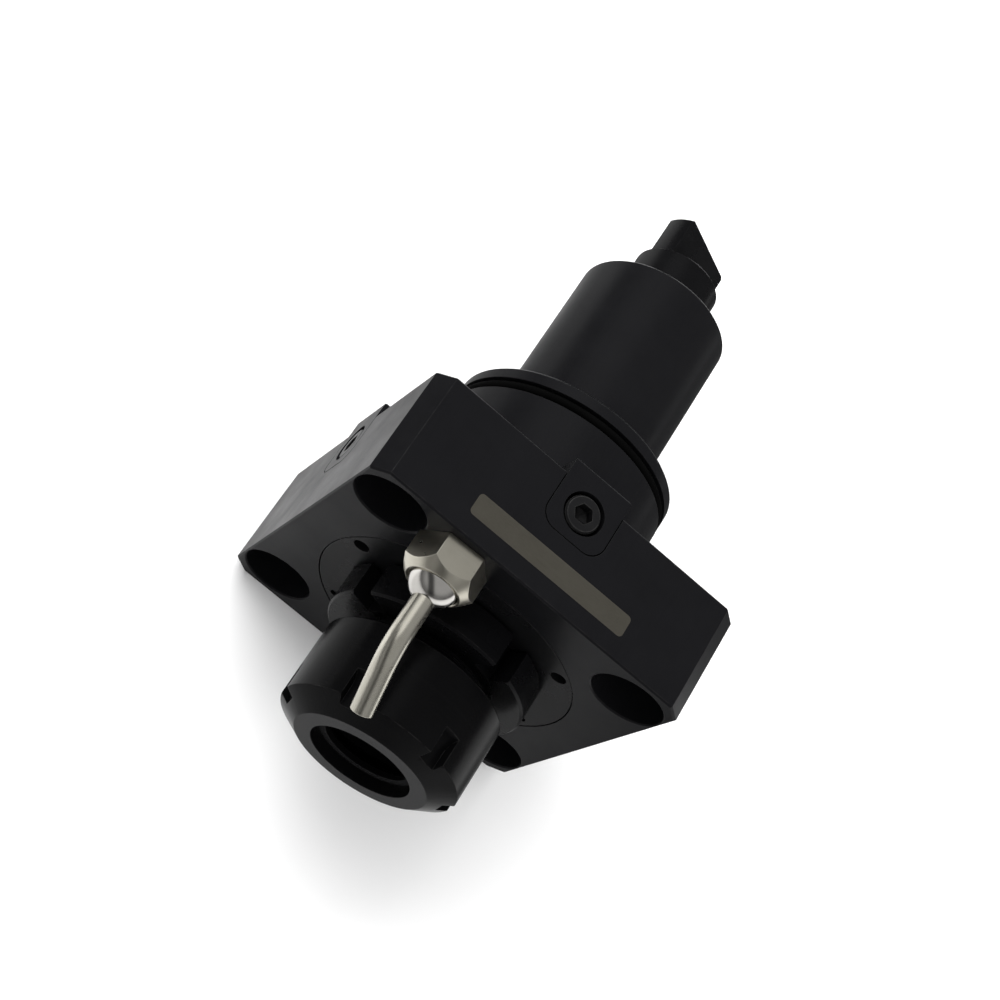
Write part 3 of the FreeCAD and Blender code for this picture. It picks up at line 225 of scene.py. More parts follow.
# Painted shade: the paper turns grey round the holder, most to its right, where its shadow falls.
painted_shade = product(paper_tree, math_node(paper_tree, "MAXIMUM", near, far),
               math_node(paper_tree, "SUBTRACT", 1.0, unshaded_share))
ray = paper_tree.nodes.new("ShaderNodeLightPath")
shade_share = math_node(paper_tree, "MULTIPLY", ray.outputs["Is Glossy Ray"], painted_shade)
paper_tree.links.new(mix_colours(paper_tree, shade_share, PAPER, SHADE_GREY),
                     paper_shader.inputs["Base Color"])
floor.data.materials.append(paper)
print("paper nodes:", len(paper_tree.nodes))

# %% [markdown]
# ## Lamps and tent
# The light could be a plain white world, but then every round surface turns flat. A real
# tent is brightest overhead and grey towards the horizon, with a bright window where the
# key lamp shines through, and a dark slit where the lens looks in. So the world carries
# those tones, and they are what the gloss mirrors. The lamps light the paper and the
# dull part of each surface, and stay out of the mirror images: a lamp's hard square
# would show in the ball. The weak lamps on the other sides keep the shadow soft.

# %% Lamps
def soft_lamp(name, place, size, power):
    """A square lamp that faces the holder."""
    lamp_data = bpy.data.lights.new(name, "AREA")
    lamp_data.size = size
    lamp_data.energy = power
    lamp = bpy.data.objects.new(name, lamp_data)
    lamp.matrix_world = (
        Matrix.Translation(place) @ place.to_track_quat("Z", "Y").to_matrix().to_4x4()
    )
    lamp.visible_glossy = False
    bpy.context.scene.collection.objects.link(lamp)


KEY_PLACE = Vector((-0.42, 0.30, 0.60))
# Place and size in metres, power in watts.
LAMPS = {
    "key_lamp": (KEY_PLACE, 0.7, 7.0),
    "right_lamp": (Vector((0.75, -0.20, 0.40)), 0.9, 4.0),
    "back_lamp": (Vector((0.15, 0.85, 0.40)), 0.9, 4.0),
    "front_lamp": (Vector((-0.10, -0.90, 0.40)), 0.9, 3.0),
}
for name, (place, size, power) in LAMPS.items():
    soft_lamp(name, place, size, power)
print("lamps:", len(LAMPS))

# %% Tent
OVERHEAD = 0.50
HORIZON = 0.18
WINDOW = 0.9
SLIT_PLACE = 0.28
SLIT_DARK = 0.85
FILL = 0.5
BACKDROP = 0.95
# Where each tone starts and ends, as parts of the tent's radius.
RISE_FROM_TO = (0.05, 0.55)
WINDOW_FROM_TO = (0.86, 0.96)
SLIT_FROM_TO = (0.10, 0.32)
LENS_FROM_TO = (0.30, 0.60)

tent = bpy.data.worlds.new("tent")
bpy.context.scene.world = tent
tent.use_nodes = True
tent_tree = tent.node_tree
tent_light = tent_tree.nodes["Background"]
tent_light.inputs["Color"].default_value = (1, 1, 1, 1)
sky_place = tent_tree.nodes.new("ShaderNodeTexCoord")
sky_parts = tent_tree.nodes.new("ShaderNodeSeparateXYZ")
tent_tree.links.new(sky_place.outputs["Generated"], sky_parts.inputs[0])
sky_way = sky_place.outputs["Generated"]


def along(direction):
    """How far the looked-at point of the tent lies in a direction, from -1 to 1."""
    dot = tent_tree.nodes.new("ShaderNodeVectorMath")
    dot.operation = "DOT_PRODUCT"
    dot.inputs[1].default_value = direction
    tent_tree.links.new(sky_way, dot.inputs[0])
    return dot.outputs["Value"]


height_tone = soft_step(
    tent_tree, sky_parts.outputs["Z"], *RISE_FROM_TO, HORIZON, OVERHEAD)
window_tone = soft_step(
    tent_tree, along(KEY_PLACE.normalized()), *WINDOW_FROM_TO, 0.0, WINDOW)
beside_lens = math_node(
    tent_tree, "ABSOLUTE", math_node(tent_tree, "ADD", along(LOOKS_RIGHT), SLIT_PLACE))
slit = product(
    tent_tree, soft_step(tent_tree, beside_lens, *SLIT_FROM_TO, 1.0, 0.0),
    soft_step(tent_tree, along(-LOOKS_FORWARD), *LENS_FROM_TO, 0.0, SLIT_DARK))
tone = math_node(
    tent_tree, "MULTIPLY", math_node(tent_tree, "ADD", height_tone, window_tone),
    math_node(tent_tree, "SUBTRACT", 1.0, slit))
sky_ray = tent_tree.nodes.new("ShaderNodeLightPath")
filled = math_node(
    tent_tree, "ADD", 1.0,
    math_node(tent_tree, "MULTIPLY", sky_ray.outputs["Is Diffuse Ray"], FILL))
lit = math_node(tent_tree, "MULTIPLY", tone, filled)
unseen = math_node(tent_tree, "SUBTRACT", 1.0, sky_ray.outputs["Is Camera Ray"])
backdrop = math_node(tent_tree, "MULTIPLY", sky_ray.outputs["Is Camera Ray"], BACKDROP)
strength = math_node(tent_tree, "ADD", math_node(tent_tree, "MULTIPLY", lit, unseen), backdrop)
tent_tree.links.new(strength, tent_light.inputs["Strength"])
print("tent from", HORIZON, "to", OVERHEAD)

# %% [markdown]
# ## Softened edges
# A machined edge is never knife sharp: a deburring tool leaves a tenth or two of a
# millimetre of round, and that round catches the light first and wears first. A Bevel
# modifier would do it, but the marks of wear need to know where the round is. So each
# CAD piece is copied, its triangles are merged back to flat faces, and its sharp edges
# are bevelled in two steps. The middle line of each bevel is stored as a value that
# the materials read as bare, rubbed metal.

# %% Softened copy of a CAD piece
SAME_POINT = 0.002 * MM
FLAT_ENOUGH = math.radians(0.4)
SHARP_FROM = math.radians(24)


def soften(bm, width, segments=2):
    """Bevels the sharp edges and marks the middle of each bevel as rubbed."""
    sharp = [
        edge for edge in bm.edges
        if len(edge.link_faces) == 2 and edge.calc_face_angle(0) > SHARP_FROM
    ]
    rubbed = bm.verts.layers.float.new("rubbed")
    made = bmesh.ops.bevel(
        bm, geom=sharp, offset=width, offset_type="OFFSET", segments=segments, profile=0.5,
        affect="EDGES", clamp_overlap=True, material=-1,
    )
    rounds = set(made["faces"])
    for vertex in bm.verts:
        if vertex.link_faces and all(face in rounds for face in vertex.link_faces):
            vertex[rubbed] = 1.0


def shade_smooth(piece):
    """Smooth shading that keeps flat faces flat."""
    for polygon in piece.data.polygons:
        polygon.use_smooth = True
    weighted = piece.modifiers.new("flat faces stay flat", "WEIGHTED_NORMAL")
    weighted.weight = 100
    weighted.keep_sharp = True


def dress(piece, body, slot, finish, *stands_for):
    """Smooth shading, a finish, the body that the piece rides on and the node it stands for."""
    shade_smooth(piece)
    piece.data.materials.append(finish)
    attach(piece, body)
    if stands_for:
        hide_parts(*stands_for)
    print(piece.name, "faces:", len(piece.data.polygons))


def clean_copy(node):
    """A CAD node's mesh with its triangles merged back to flat faces."""
    bm = bmesh.new()
    bm.from_mesh(nodes[node].data)
    bmesh.ops.remove_doubles(bm, verts=bm.verts, dist=SAME_POINT)
    bmesh.ops.dissolve_limit(
        bm, angle_limit=FLAT_ENOUGH, use_dissolve_boundaries=False,
        verts=bm.verts, edges=bm.edges,
    )
    return bm

# %% [markdown]
# ## Shared effects
# Five effects make up the finishes, and each is built once as a group.
# *Ground grain* is the fine brushed line of a grinding wheel along one direction.
# *Turned grain* is the ring pattern of a lathe. *Handled* is the slow, cloudy change
# of gloss that oil, hands and blackening salts leave. *Rubbed edge* turns the stored
# bevel value into a broken, uneven mask. *Front reflection* finds the faces that look
# along -Y and paints them a little paler, a painted reflection of the bright floor on the
# nut's front. Painted maps could hold all this, but a formula has no seams and no resolution.

# %% Group helper
def new_group(name, inputs, outputs):
    """An empty shader node group with number inputs and outputs."""
    group = bpy.data.node_groups.new(name, "ShaderNodeTree")
    for label, value in inputs:
        socket = group.interface.new_socket(label, in_out="INPUT", socket_type="NodeSocketFloat")
        socket.default_value = value
    for label in outputs:
        group.interface.new_socket(label, in_out="OUTPUT", socket_type="NodeSocketFloat")
    return group, group.nodes.new("NodeGroupInput"), group.nodes.new("NodeGroupOutput")


def noise_node(group, scale, detail, roughness=0.5):
    """A noise texture; scale is a number or a socket."""
    noise = group.nodes.new("ShaderNodeTexNoise")
    noise.inputs["Detail"].default_value = detail
    noise.inputs["Roughness"].default_value = roughness
    if isinstance(scale, (int, float)):
        noise.inputs["Scale"].default_value = scale
    else:
        group.links.new(scale, noise.inputs["Scale"])
    return noise


# %% Ground grain
FINE_LINES = 5200.0
DEEP_LINES = 1300.0
FINE_SHARE = 0.6


def make_ground_grain():
    """Fine lines along Object Y, with a few deeper scratches. Lines are finer than 0.3 mm."""
    group, given, result = new_group(
        "ground_grain", [("Fineness", 1.0), ("Along", 0.03)], ["Height", "Tone"])
    place = group.nodes.new("ShaderNodeTexCoord")
    parts = group.nodes.new("ShaderNodeSeparateXYZ")
    group.links.new(place.outputs["Object"], parts.inputs[0])
    squeezed = group.nodes.new("ShaderNodeCombineXYZ")
    across = math_node(group, "MULTIPLY", parts.outputs["X"], given.outputs["Fineness"])
    upward = math_node(group, "MULTIPLY", parts.outputs["Z"], given.outputs["Fineness"])
    along = math_node(group, "MULTIPLY", parts.outputs["Y"], given.outputs["Along"])
    group.links.new(across, squeezed.inputs[0])
    group.links.new(along, squeezed.inputs[1])
    group.links.new(upward, squeezed.inputs[2])
    fine = noise_node(group, FINE_LINES, 2.0)
    coarse = noise_node(group, DEEP_LINES, 3.0)
    for noise in (fine, coarse):
        group.links.new(squeezed.outputs[0], noise.inputs["Vector"])
    height = math_node(group, "ADD", math_node(group, "MULTIPLY", fine.outputs[0], FINE_SHARE),
                       math_node(group, "MULTIPLY", coarse.outputs[0], 1 - FINE_SHARE))
    group.links.new(height, result.inputs["Height"])
    group.links.new(coarse.outputs[0], result.inputs["Tone"])
    return group


ground_grain = make_ground_grain()
print("group", ground_grain.name)

# %% Turned grain
BAND_SCALE = 0.12


def make_turned_grain():
    """Rings about an axis parallel to Y through (Across, Up): a lathe's feed marks."""
    group, given, result = new_group(
        "turned_grain", [("Across", 0.0), ("Up", 0.0), ("Pitch", 0.15)], ["Height", "Tone"])
    place = group.nodes.new("ShaderNodeTexCoord")
    parts = group.nodes.new("ShaderNodeSeparateXYZ")
    group.links.new(place.outputs["Object"], parts.inputs[0])
    x = math_node(group, "SUBTRACT", parts.outputs["X"],
                  math_node(group, "MULTIPLY", given.outputs["Across"], MM))
    z = math_node(group, "SUBTRACT", parts.outputs["Z"],
                  math_node(group, "MULTIPLY", given.outputs["Up"], MM))
    squares = math_node(group, "ADD", math_node(group, "MULTIPLY", x, x),
                        math_node(group, "MULTIPLY", z, z))
    radius = math_node(group, "SQRT", squares)
    reach = math_node(group, "ADD", radius, parts.outputs["Y"])
    across = math_node(group, "SUBTRACT", radius, parts.outputs["Y"])
    pitch = math_node(group, "DIVIDE", 1.0 / MM, given.outputs["Pitch"])
    line = group.nodes.new("ShaderNodeCombineXYZ")
    group.links.new(math_node(group, "MULTIPLY", reach, pitch), line.inputs[0])
    group.links.new(math_node(group, "MULTIPLY", across, pitch), line.inputs[1])
    rings = noise_node(group, 1.0, 2.0)
    group.links.new(line.outputs[0], rings.inputs["Vector"])
    group.links.new(rings.outputs[0], result.inputs["Height"])
    bands = noise_node(group, BAND_SCALE, 1.0)
    group.links.new(line.outputs[0], bands.inputs["Vector"])
    group.links.new(bands.outputs[0], result.inputs["Tone"])
    return group


turned_grain = make_turned_grain()
print("group", turned_grain.name)

# %% Handled
SPECK_SCALE = 2600.0
SMEAR_STEEPNESS = 2.5


def make_handled():
    """Cloudy marks of oil and hands: 0 where clean, 1 where smeared."""
    group, given, result = new_group(
        "handled", [("Size", 12.0), ("Contrast", 1.0)], ["Smear", "Speck"])
    place = group.nodes.new("ShaderNodeTexCoord")
    scale = math_node(group, "DIVIDE", 1.0 / MM, given.outputs["Size"])
    cloud = noise_node(group, scale, 5.0, 0.6)
    group.links.new(place.outputs["Object"], cloud.inputs["Vector"])
    centred = math_node(group, "SUBTRACT", cloud.outputs[0], 0.5)
    spread = math_node(group, "MULTIPLY", centred, math_node(
        group, "MULTIPLY", given.outputs["Contrast"], SMEAR_STEEPNESS))
    smear = group.nodes.new("ShaderNodeClamp")
    group.links.new(math_node(group, "ADD", spread, 0.5), smear.inputs[0])
    group.links.new(smear.outputs[0], result.inputs["Smear"])
    grit = noise_node(group, SPECK_SCALE, 3.0, 0.7)
    group.links.new(place.outputs["Object"], grit.inputs["Vector"])
    group.links.new(grit.outputs[0], result.inputs["Speck"])
    return group


handled = make_handled()
print("group", handled.name)

# %% Rubbed edge
BREAK_SCALE = 420.0
BREAK_LEVEL = 0.36
BREAK_STEEPNESS = 3.2


def make_rubbed_edge():
    """The bevels' stored value, broken up so that wear comes and goes along an edge."""
    group, given, result = new_group("rubbed_edge", [("Amount", 0.6)], ["Mask"])
    stored = group.nodes.new("ShaderNodeAttribute")
    stored.attribute_name = "rubbed"
    place = group.nodes.new("ShaderNodeTexCoord")
    breaks = noise_node(group, BREAK_SCALE, 4.0, 0.65)
    group.links.new(place.outputs["Object"], breaks.inputs["Vector"])
    uneven = math_node(group, "MULTIPLY", math_node(
        group, "SUBTRACT", breaks.outputs[0], BREAK_LEVEL), BREAK_STEEPNESS)
    mask = math_node(group, "MULTIPLY", stored.outputs["Fac"], uneven)
    strength = math_node(group, "MULTIPLY", mask, given.outputs["Amount"])
    clamp = group.nodes.new("ShaderNodeClamp")
    group.links.new(strength, clamp.inputs[0])
    group.links.new(clamp.outputs[0], result.inputs["Mask"])
    return group


rubbed_edge = make_rubbed_edge()
print("group", rubbed_edge.name)

# %% Front reflection: front faces painted paler
SQUARE_FROM_TO = (0.97, 0.995)


def make_front_reflection():
    """1 on faces that look along -Y, where a paler colour paints the bright floor's reflection, 0 on every other
    face.
    """
    group, _, result = new_group("front_reflection", [], ["Mask"])
    place = group.nodes.new("ShaderNodeTexCoord")
    parts = group.nodes.new("ShaderNodeSeparateXYZ")
    group.links.new(place.outputs["Normal"], parts.inputs[0])
    towards_front = math_node(group, "MULTIPLY", parts.outputs["Y"], -1.0)
    squareness = soft_step(group, towards_front, *SQUARE_FROM_TO, 0.0, 1.0)
    group.links.new(squareness, result.inputs["Mask"])
    return group


front_reflection = make_front_reflection()
print("group", front_reflection.name)

# %% [markdown]
# ## Metal finishes
# Blackened steel is a thin, oiled layer of oxide on ground or turned steel. It mirrors
# little when seen square on and a lot at a shallow angle, and so it is not a metal to
# the shader but a dark body with a weak, fairly sharp gloss. A low index of refraction
# gives just that: the flank seen along its length is mid grey, the one seen square on
# nearly black. Where an edge is rubbed the bare steel shows through, and there the
# shader turns metallic. Nickel is a metal, and takes its warm tone from its base colour.

# %% Metal helper
RELIEF_DEPTH = 0.04 * MM
SPECK_SHARE = 0.5
BARE_METALLIC = 0.9


def place_group(tree, group, **values):
    """A group placed in a material, with its own values."""
    node = tree.nodes.new("ShaderNodeGroup")
    node.node_tree = group
    for label, value in values.items():
        node.inputs[label].default_value = value
    return node


def mix_numbers(tree, share, first, second):
    """A number from first to second as share goes from 0 to 1."""
    span = tree.nodes.new("ShaderNodeMapRange")
    span.inputs["To Min"].default_value = first
    span.inputs["To Max"].default_value = second
    tree.links.new(share, span.inputs["Value"])
    return span.outputs[0]


def metal_finish(name, dark, pale, gloss, grain, grain_values, bump, ior=1.5, metal=0.0,
                 wear=0.6, bare=(0.42, 0.41, 0.39), cloud=12.0, face=None):
    """A finished metal: two tones, a gloss range, a grain for the bump, and rubbed edges."""
    material = bpy.data.materials.new(name)
    material.use_nodes = True
    tree = material.node_tree
    shader = tree.nodes["Principled BSDF"]
    shader.inputs["IOR"].default_value = ior
    marks = place_group(tree, handled, Size=cloud)
    lines = place_group(tree, grain, **grain_values)
    edge = place_group(tree, rubbed_edge, Amount=wear)
    body_tone = mix_colours(tree, marks.outputs["Smear"], dark, pale)
    lined = mix_colours(tree, lines.outputs["Tone"], body_tone, pale)
    # A paler colour on faces that look along -Y is a painted reflection of the bright floor.
    if face:
        front = place_group(tree, front_reflection)
        lined = mix_colours(tree, front.outputs["Mask"], lined, face)
    colour = mix_colours(tree, edge.outputs["Mask"], lined, bare)
    tree.links.new(colour, shader.inputs["Base Color"])
    rough = mix_numbers(tree, marks.outputs["Smear"], gloss[0], gloss[1])
    tree.links.new(rough, shader.inputs["Roughness"])
    if metal:
        shader.inputs["Metallic"].default_value = metal
    else:
        tree.links.new(mix_numbers(tree, edge.outputs["Mask"], 0.0, BARE_METALLIC),
                       shader.inputs["Metallic"])
    relief = tree.nodes.new("ShaderNodeBump")
    relief.inputs["Strength"].default_value = bump
    relief.inputs["Distance"].default_value = RELIEF_DEPTH
    rise = math_node(tree, "ADD", lines.outputs["Height"],
                     math_node(tree, "MULTIPLY", marks.outputs["Speck"], SPECK_SHARE))
    tree.links.new(rise, relief.inputs["Height"])
    tree.links.new(relief.outputs[0], shader.inputs["Normal"])
    return material

# %% Where the nozzle sits
ball_place = next(
    joint["pos_m"] for joint in frame["joints"] if joint["name"] == "nozzle_tilt")
ball_centre_mm = [value / MM for value in ball_place]
nozzle_rings = {"Across": ball_centre_mm[0], "Up": ball_centre_mm[2]}
print("ball centre", ball_centre_mm)

# %% Blackened steels
blackened_body = metal_finish(
    "blackened_body", (0.0040, 0.0040, 0.0046), (0.0058, 0.0058, 0.0066), (0.28, 0.38),
    ground_grain, {"Fineness": 1.0, "Along": 0.04}, 0.16, ior=1.14, wear=0.03)
blackened_cover = metal_finish(
    "blackened_cover", (0.0034, 0.0034, 0.0038), (0.0052, 0.0052, 0.0056), (0.24, 0.34),
    turned_grain, {"Pitch": 0.18}, 0.18, ior=1.13, wear=0.06)
blackened_spindle = metal_finish(
    "blackened_spindle", (0.0018, 0.0018, 0.0021), (0.0036, 0.0036, 0.0040), (0.22, 0.32),
    turned_grain, {"Pitch": 0.12}, 0.08, ior=1.14, wear=0.05)
# The nut's face colour is a painted reflection of the bright floor on its front faces.
blackened_nut = metal_finish(
    "blackened_nut", (0.0014, 0.0014, 0.0016), (0.0026, 0.0026, 0.0028), (0.18, 0.28),
    turned_grain, {"Pitch": 0.10}, 0.08, ior=1.12, wear=0.04, face=(0.011, 0.011, 0.0115))
blackened_key = metal_finish(
    "blackened_key", (0.0040, 0.0040, 0.0046), (0.0058, 0.0058, 0.0066), (0.28, 0.38),
    ground_grain, {"Fineness": 1.2, "Along": 0.05}, 0.16, ior=1.13, wear=0.04)
screw_black = metal_finish(
    "screw_black", (0.0030, 0.0030, 0.0033), (0.0070, 0.0070, 0.0074), (0.26, 0.40),
    turned_grain, {"Pitch": 0.3}, 0.20, ior=1.19, wear=0.10)
print("blackened steels: 6")

# %% Bright metals
nickel_nut = metal_finish(
    "nickel_nut", (0.42, 0.398, 0.335), (0.48, 0.458, 0.39), (0.27, 0.34),
    turned_grain, {**nozzle_rings, "Pitch": 0.16}, 0.02,
    metal=1.0, wear=0.3, bare=(0.60, 0.585, 0.55), cloud=5.0)
nickel_ball = metal_finish(
    "nickel_ball", (0.44, 0.425, 0.40), (0.52, 0.505, 0.48), (0.12, 0.20),
    turned_grain, {**nozzle_rings, "Pitch": 0.08}, 0.10,
    metal=1.0, wear=0.0, cloud=4.0)
nickel_nozzle = metal_finish(
    "nickel_nozzle", (0.40, 0.382, 0.325), (0.49, 0.472, 0.412), (0.24, 0.32),
    ground_grain, {"Fineness": 0.9, "Along": 0.05}, 0.18, metal=1.0,
    wear=0.3, bare=(0.60, 0.585, 0.55), cloud=5.0)
etched_field = metal_finish(
    "etched_field", (0.080, 0.074, 0.060), (0.110, 0.103, 0.085), (0.38, 0.50),
    turned_grain, {"Pitch": 0.05}, 0.30, metal=0.9, wear=0.0, cloud=7.0)
ground_steel = metal_finish(
    "ground_steel", (0.16, 0.16, 0.17), (0.26, 0.26, 0.27), (0.22, 0.34),
    turned_grain, {"Pitch": 0.12}, 0.25, metal=1.0, bare=(0.6, 0.6, 0.6))
bearing_steel = metal_finish(
    "bearing_steel", (0.52, 0.52, 0.54), (0.62, 0.62, 0.64), (0.08, 0.16),
    turned_grain, {"Pitch": 0.05}, 0.08, metal=1.0, bare=(0.7, 0.7, 0.7))
cage_brass = metal_finish(
    "cage_brass", (0.55, 0.38, 0.14), (0.70, 0.52, 0.22), (0.25, 0.4),
    turned_grain, {"Pitch": 0.1}, 0.25, metal=1.0, bare=(0.8, 0.64, 0.34))
print("bright metals: 7")

# %% Rubber and plastic
SOFT_CLOUD = 6.0
SOFT_BUMP = 0.3
SOFT_RELIEF = 0.03 * MM


def soft_finish(name, dark, pale, gloss, ior=1.45):
    """A matt moulded surface with a fine speck and a cloudy bloom."""
    material = bpy.data.materials.new(name)
    material.use_nodes = True
    tree = material.node_tree
    shader = tree.nodes["Principled BSDF"]
    shader.inputs["IOR"].default_value = ior
    marks = place_group(tree, handled, Size=SOFT_CLOUD)
    tree.links.new(mix_colours(tree, marks.outputs["Smear"], dark, pale),
                   shader.inputs["Base Color"])
    tree.links.new(mix_numbers(tree, marks.outputs["Smear"], *gloss), shader.inputs["Roughness"])
    relief = tree.nodes.new("ShaderNodeBump")
    relief.inputs["Strength"].default_value = SOFT_BUMP
    relief.inputs["Distance"].default_value = SOFT_RELIEF
    tree.links.new(marks.outputs["Speck"], relief.inputs["Height"])
    tree.links.new(relief.outputs[0], shader.inputs["Normal"])
    return material


seal_rubber = soft_finish(
    "seal_rubber", (0.0012, 0.0012, 0.0012), (0.0022, 0.0022, 0.0022), (0.6, 0.8), ior=1.06)
seal_plastic = soft_finish(
    "seal_ring_plastic", (0.70, 0.69, 0.66), (0.82, 0.81, 0.78), (0.3, 0.5))
print("soft finishes: 2")

# %% [markdown]
# ## The pieces that show
# The machined pieces keep the shape that CAD gave them, so each is a softened copy of its
# node. The width of the softening is the deburring that such a piece gets: more on the
# flange, less on the keys. Keys and cover are fitted into pockets, and the eye reads that
# from the dark line round them. CAD has them touch, so their copies shrink by one or two
# tenths of a millimetre. A drawn line would do in one view, but a real gap holds in all.

# %% Gap round a fitted piece
def fitted_gap(bm, node, gap):
    """Shrinks a plate in its two long directions, so that a dark gap shows round it."""
    low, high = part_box(node)
    sizes = [high[axis] - low[axis] for axis in range(3)]
    thin = sizes.index(min(sizes))
    shares = [1 if axis == thin else 1 - 2 * gap * MM / sizes[axis] for axis in range(3)]
    middle = Vector([(low[axis] + high[axis]) / 2 for axis in range(3)])
    bmesh.ops.scale(bm, verts=bm.verts, vec=shares, space=Matrix.Translation(-middle))


# %% Machined pieces
KEYS = ("key_top", "key_right", "key_bottom", "key_left")
# Gap all round, in mm.
FITTED = {**dict.fromkeys(KEYS, 0.18), "front_cover": 0.12}
slot_of = {row["node"]: row["material_slot"] for row in frame["record"]["subparts"]}
# Width of the softened edge in mm, body, finish.
MACHINED = {
    "housing": (0.14, "holder", blackened_body),
    "front_cover": (0.06, "holder", blackened_cover),
    "clamp_nut": (0.14, "collet_nut", blackened_nut),
    "extraction_ring": (0.10, "collet_puller", blackened_nut),
    **dict.fromkeys(KEYS, (0.06, "holder", blackened_key)),
    "nozzle_nut": (0.10, "holder", nickel_nut),
}
for node, (width, body, finish) in MACHINED.items():
    copy = clean_copy(node)
    if node in FITTED:
        fitted_gap(copy, node, FITTED[node])
    soften(copy, width * MM)
    dress(plain_object(node + "_finished", copy), body, slot_of[node], finish, node)

# %% [markdown]
# ## Spindle and nose thread
# The nut runs on a fine thread, and a few turns of it show in the gap behind the nut. A
# bump could fake the lines, but the gap is seen from the side, where a bump has no
# outline. So the nose of the copied spindle is drawn in to the root of the thread, and one
# small trapezium is spun round it, moving on by the pitch at each turn.

# %% Spindle with its nose at the thread's root
NOSE_RADIUS = 16.0
THREAD_ROOT = 15.1
THREAD_PITCH = 1.5
NUT_TO_COLLAR = 4.0
ON_THE_NOSE = 0.2
PAST_THE_COLLAR = 0.1
SPINDLE_EDGE = 0.12
collar_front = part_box("clamp_nut")[1][1] / MM + NUT_TO_COLLAR

spindle_copy = clean_copy("spindle")
nose_ring = [
    vertex for vertex in spindle_copy.verts
    if vertex.co.y / MM < collar_front + PAST_THE_COLLAR
    and abs(math.hypot(vertex.co.x, vertex.co.z) / MM - NOSE_RADIUS) < ON_THE_NOSE
]
to_the_root = THREAD_ROOT / NOSE_RADIUS
bmesh.ops.scale(spindle_copy, verts=nose_ring, vec=(to_the_root, 1, to_the_root))
soften(spindle_copy, SPINDLE_EDGE * MM)
dress(plain_object("spindle_finished", spindle_copy), "spindle_shaft", slot_of["spindle"],
      blackened_spindle, "spindle")

# %% Thread
TURN_STEPS = 64
THREAD_TURNS = 11
THREAD_RUN_OUT = 0.9
# Radius and half width of the ridge at its foot, sunk a little, and at its crest.
RIDGE_FOOT = (THREAD_ROOT - 0.1, 0.70)
RIDGE_CREST = (NOSE_RADIUS - 0.06, 0.12)
thread_start = collar_front - THREAD_RUN_OUT - THREAD_TURNS * THREAD_PITCH
ridge = bmesh.new()
corners = [
    ridge.verts.new((radius * MM, (thread_start + side * half_width) * MM, 0))
    for (radius, half_width), side in (
        (RIDGE_FOOT, -1), (RIDGE_FOOT, 1), (RIDGE_CREST, 1), (RIDGE_CREST, -1))
]
section = ridge.faces.new(corners)
bmesh.ops.spin(
    ridge, geom=[section], cent=(0, 0, 0), axis=(0, 1, 0),
    dvec=(0, THREAD_PITCH * MM / TURN_STEPS, 0), angle=math.tau * THREAD_TURNS,
    steps=TURN_STEPS * THREAD_TURNS, use_merge=False, use_duplicate=False,
)
bmesh.ops.recalc_face_normals(ridge, faces=ridge.faces)
dress(plain_object("nose_thread", ridge), "spindle_shaft", slot_of["spindle"], blackened_spindle)

# %% [markdown]
# ## Screws
# A cap screw is known by its hexagon socket, so the head is made round that: a circle
# whose points are drawn out to six flats, the round rim, and a bridge between the two.
# Both loops have as many points, which keeps the bridge even. The same helper makes the
# tiny grub screws that lock the cover. The key screws stand nearly flush, as in the
# photograph, so the dark ring of the counterbore shows all round them.

# %% Socket screw
SCREW_SIDES = 48
SIXTH = math.pi / 3
DRILL_TIP_WIDTH = 0.05
DRILL_TIP_DEPTH = 0.3


def loop_edges(loop):
    """The edges that join the points of one closed loop."""
    points = set(loop)
    return [edge for edge in {e for v in loop for e in v.link_edges}
            if edge.verts[0] in points and edge.verts[1] in points]


def drawn(bm, edges, scale, drop):
    """Extrudes a loop, scales it about the axis and lowers it; returns the new edges."""
    made = bmesh.ops.extrude_edge_only(bm, edges=edges)["geom"]
    fresh = [item for item in made if isinstance(item, bmesh.types.BMVert)]
    bmesh.ops.scale(bm, verts=fresh, vec=(scale, scale, 1))
    bmesh.ops.translate(bm, verts=fresh, vec=(0, 0, -drop * MM))
    return loop_edges(fresh)


def socket_screw(bm, head, height, shank, length, flats, depth, edge):
    """A screw with its top in the XY plane, facing +Z. Sizes are radii and lengths in mm."""
    before = set(bm.verts)
    rim = bmesh.ops.create_circle(bm, radius=(head - edge) * MM, segments=SCREW_SIDES)["verts"]
    hexagon = bmesh.ops.create_circle(bm, radius=flats / 2 * MM, segments=SCREW_SIDES)["verts"]
    for vertex in hexagon:
        from_flat = (math.atan2(vertex.co.y, vertex.co.x) % SIXTH) - SIXTH / 2
        vertex.co *= 1 / math.cos(from_flat)
    rim_edges, socket_edges = loop_edges(rim), loop_edges(hexagon)
    bmesh.ops.bridge_loops(bm, edges=rim_edges + socket_edges)
    wall = drawn(bm, socket_edges, 1.0, depth)
    tip = drawn(bm, wall, DRILL_TIP_WIDTH, depth * DRILL_TIP_DEPTH)
    bmesh.ops.contextual_create(bm, geom=tip)
    outside = drawn(bm, rim_edges, head / (head - edge), edge)
    outside = drawn(bm, outside, 1.0, height - edge)
    outside = drawn(bm, outside, shank / head, 0.0)
    outside = drawn(bm, outside, 1.0, length)
    bmesh.ops.contextual_create(bm, geom=outside)
    return [vertex for vertex in bm.verts if vertex not in before]


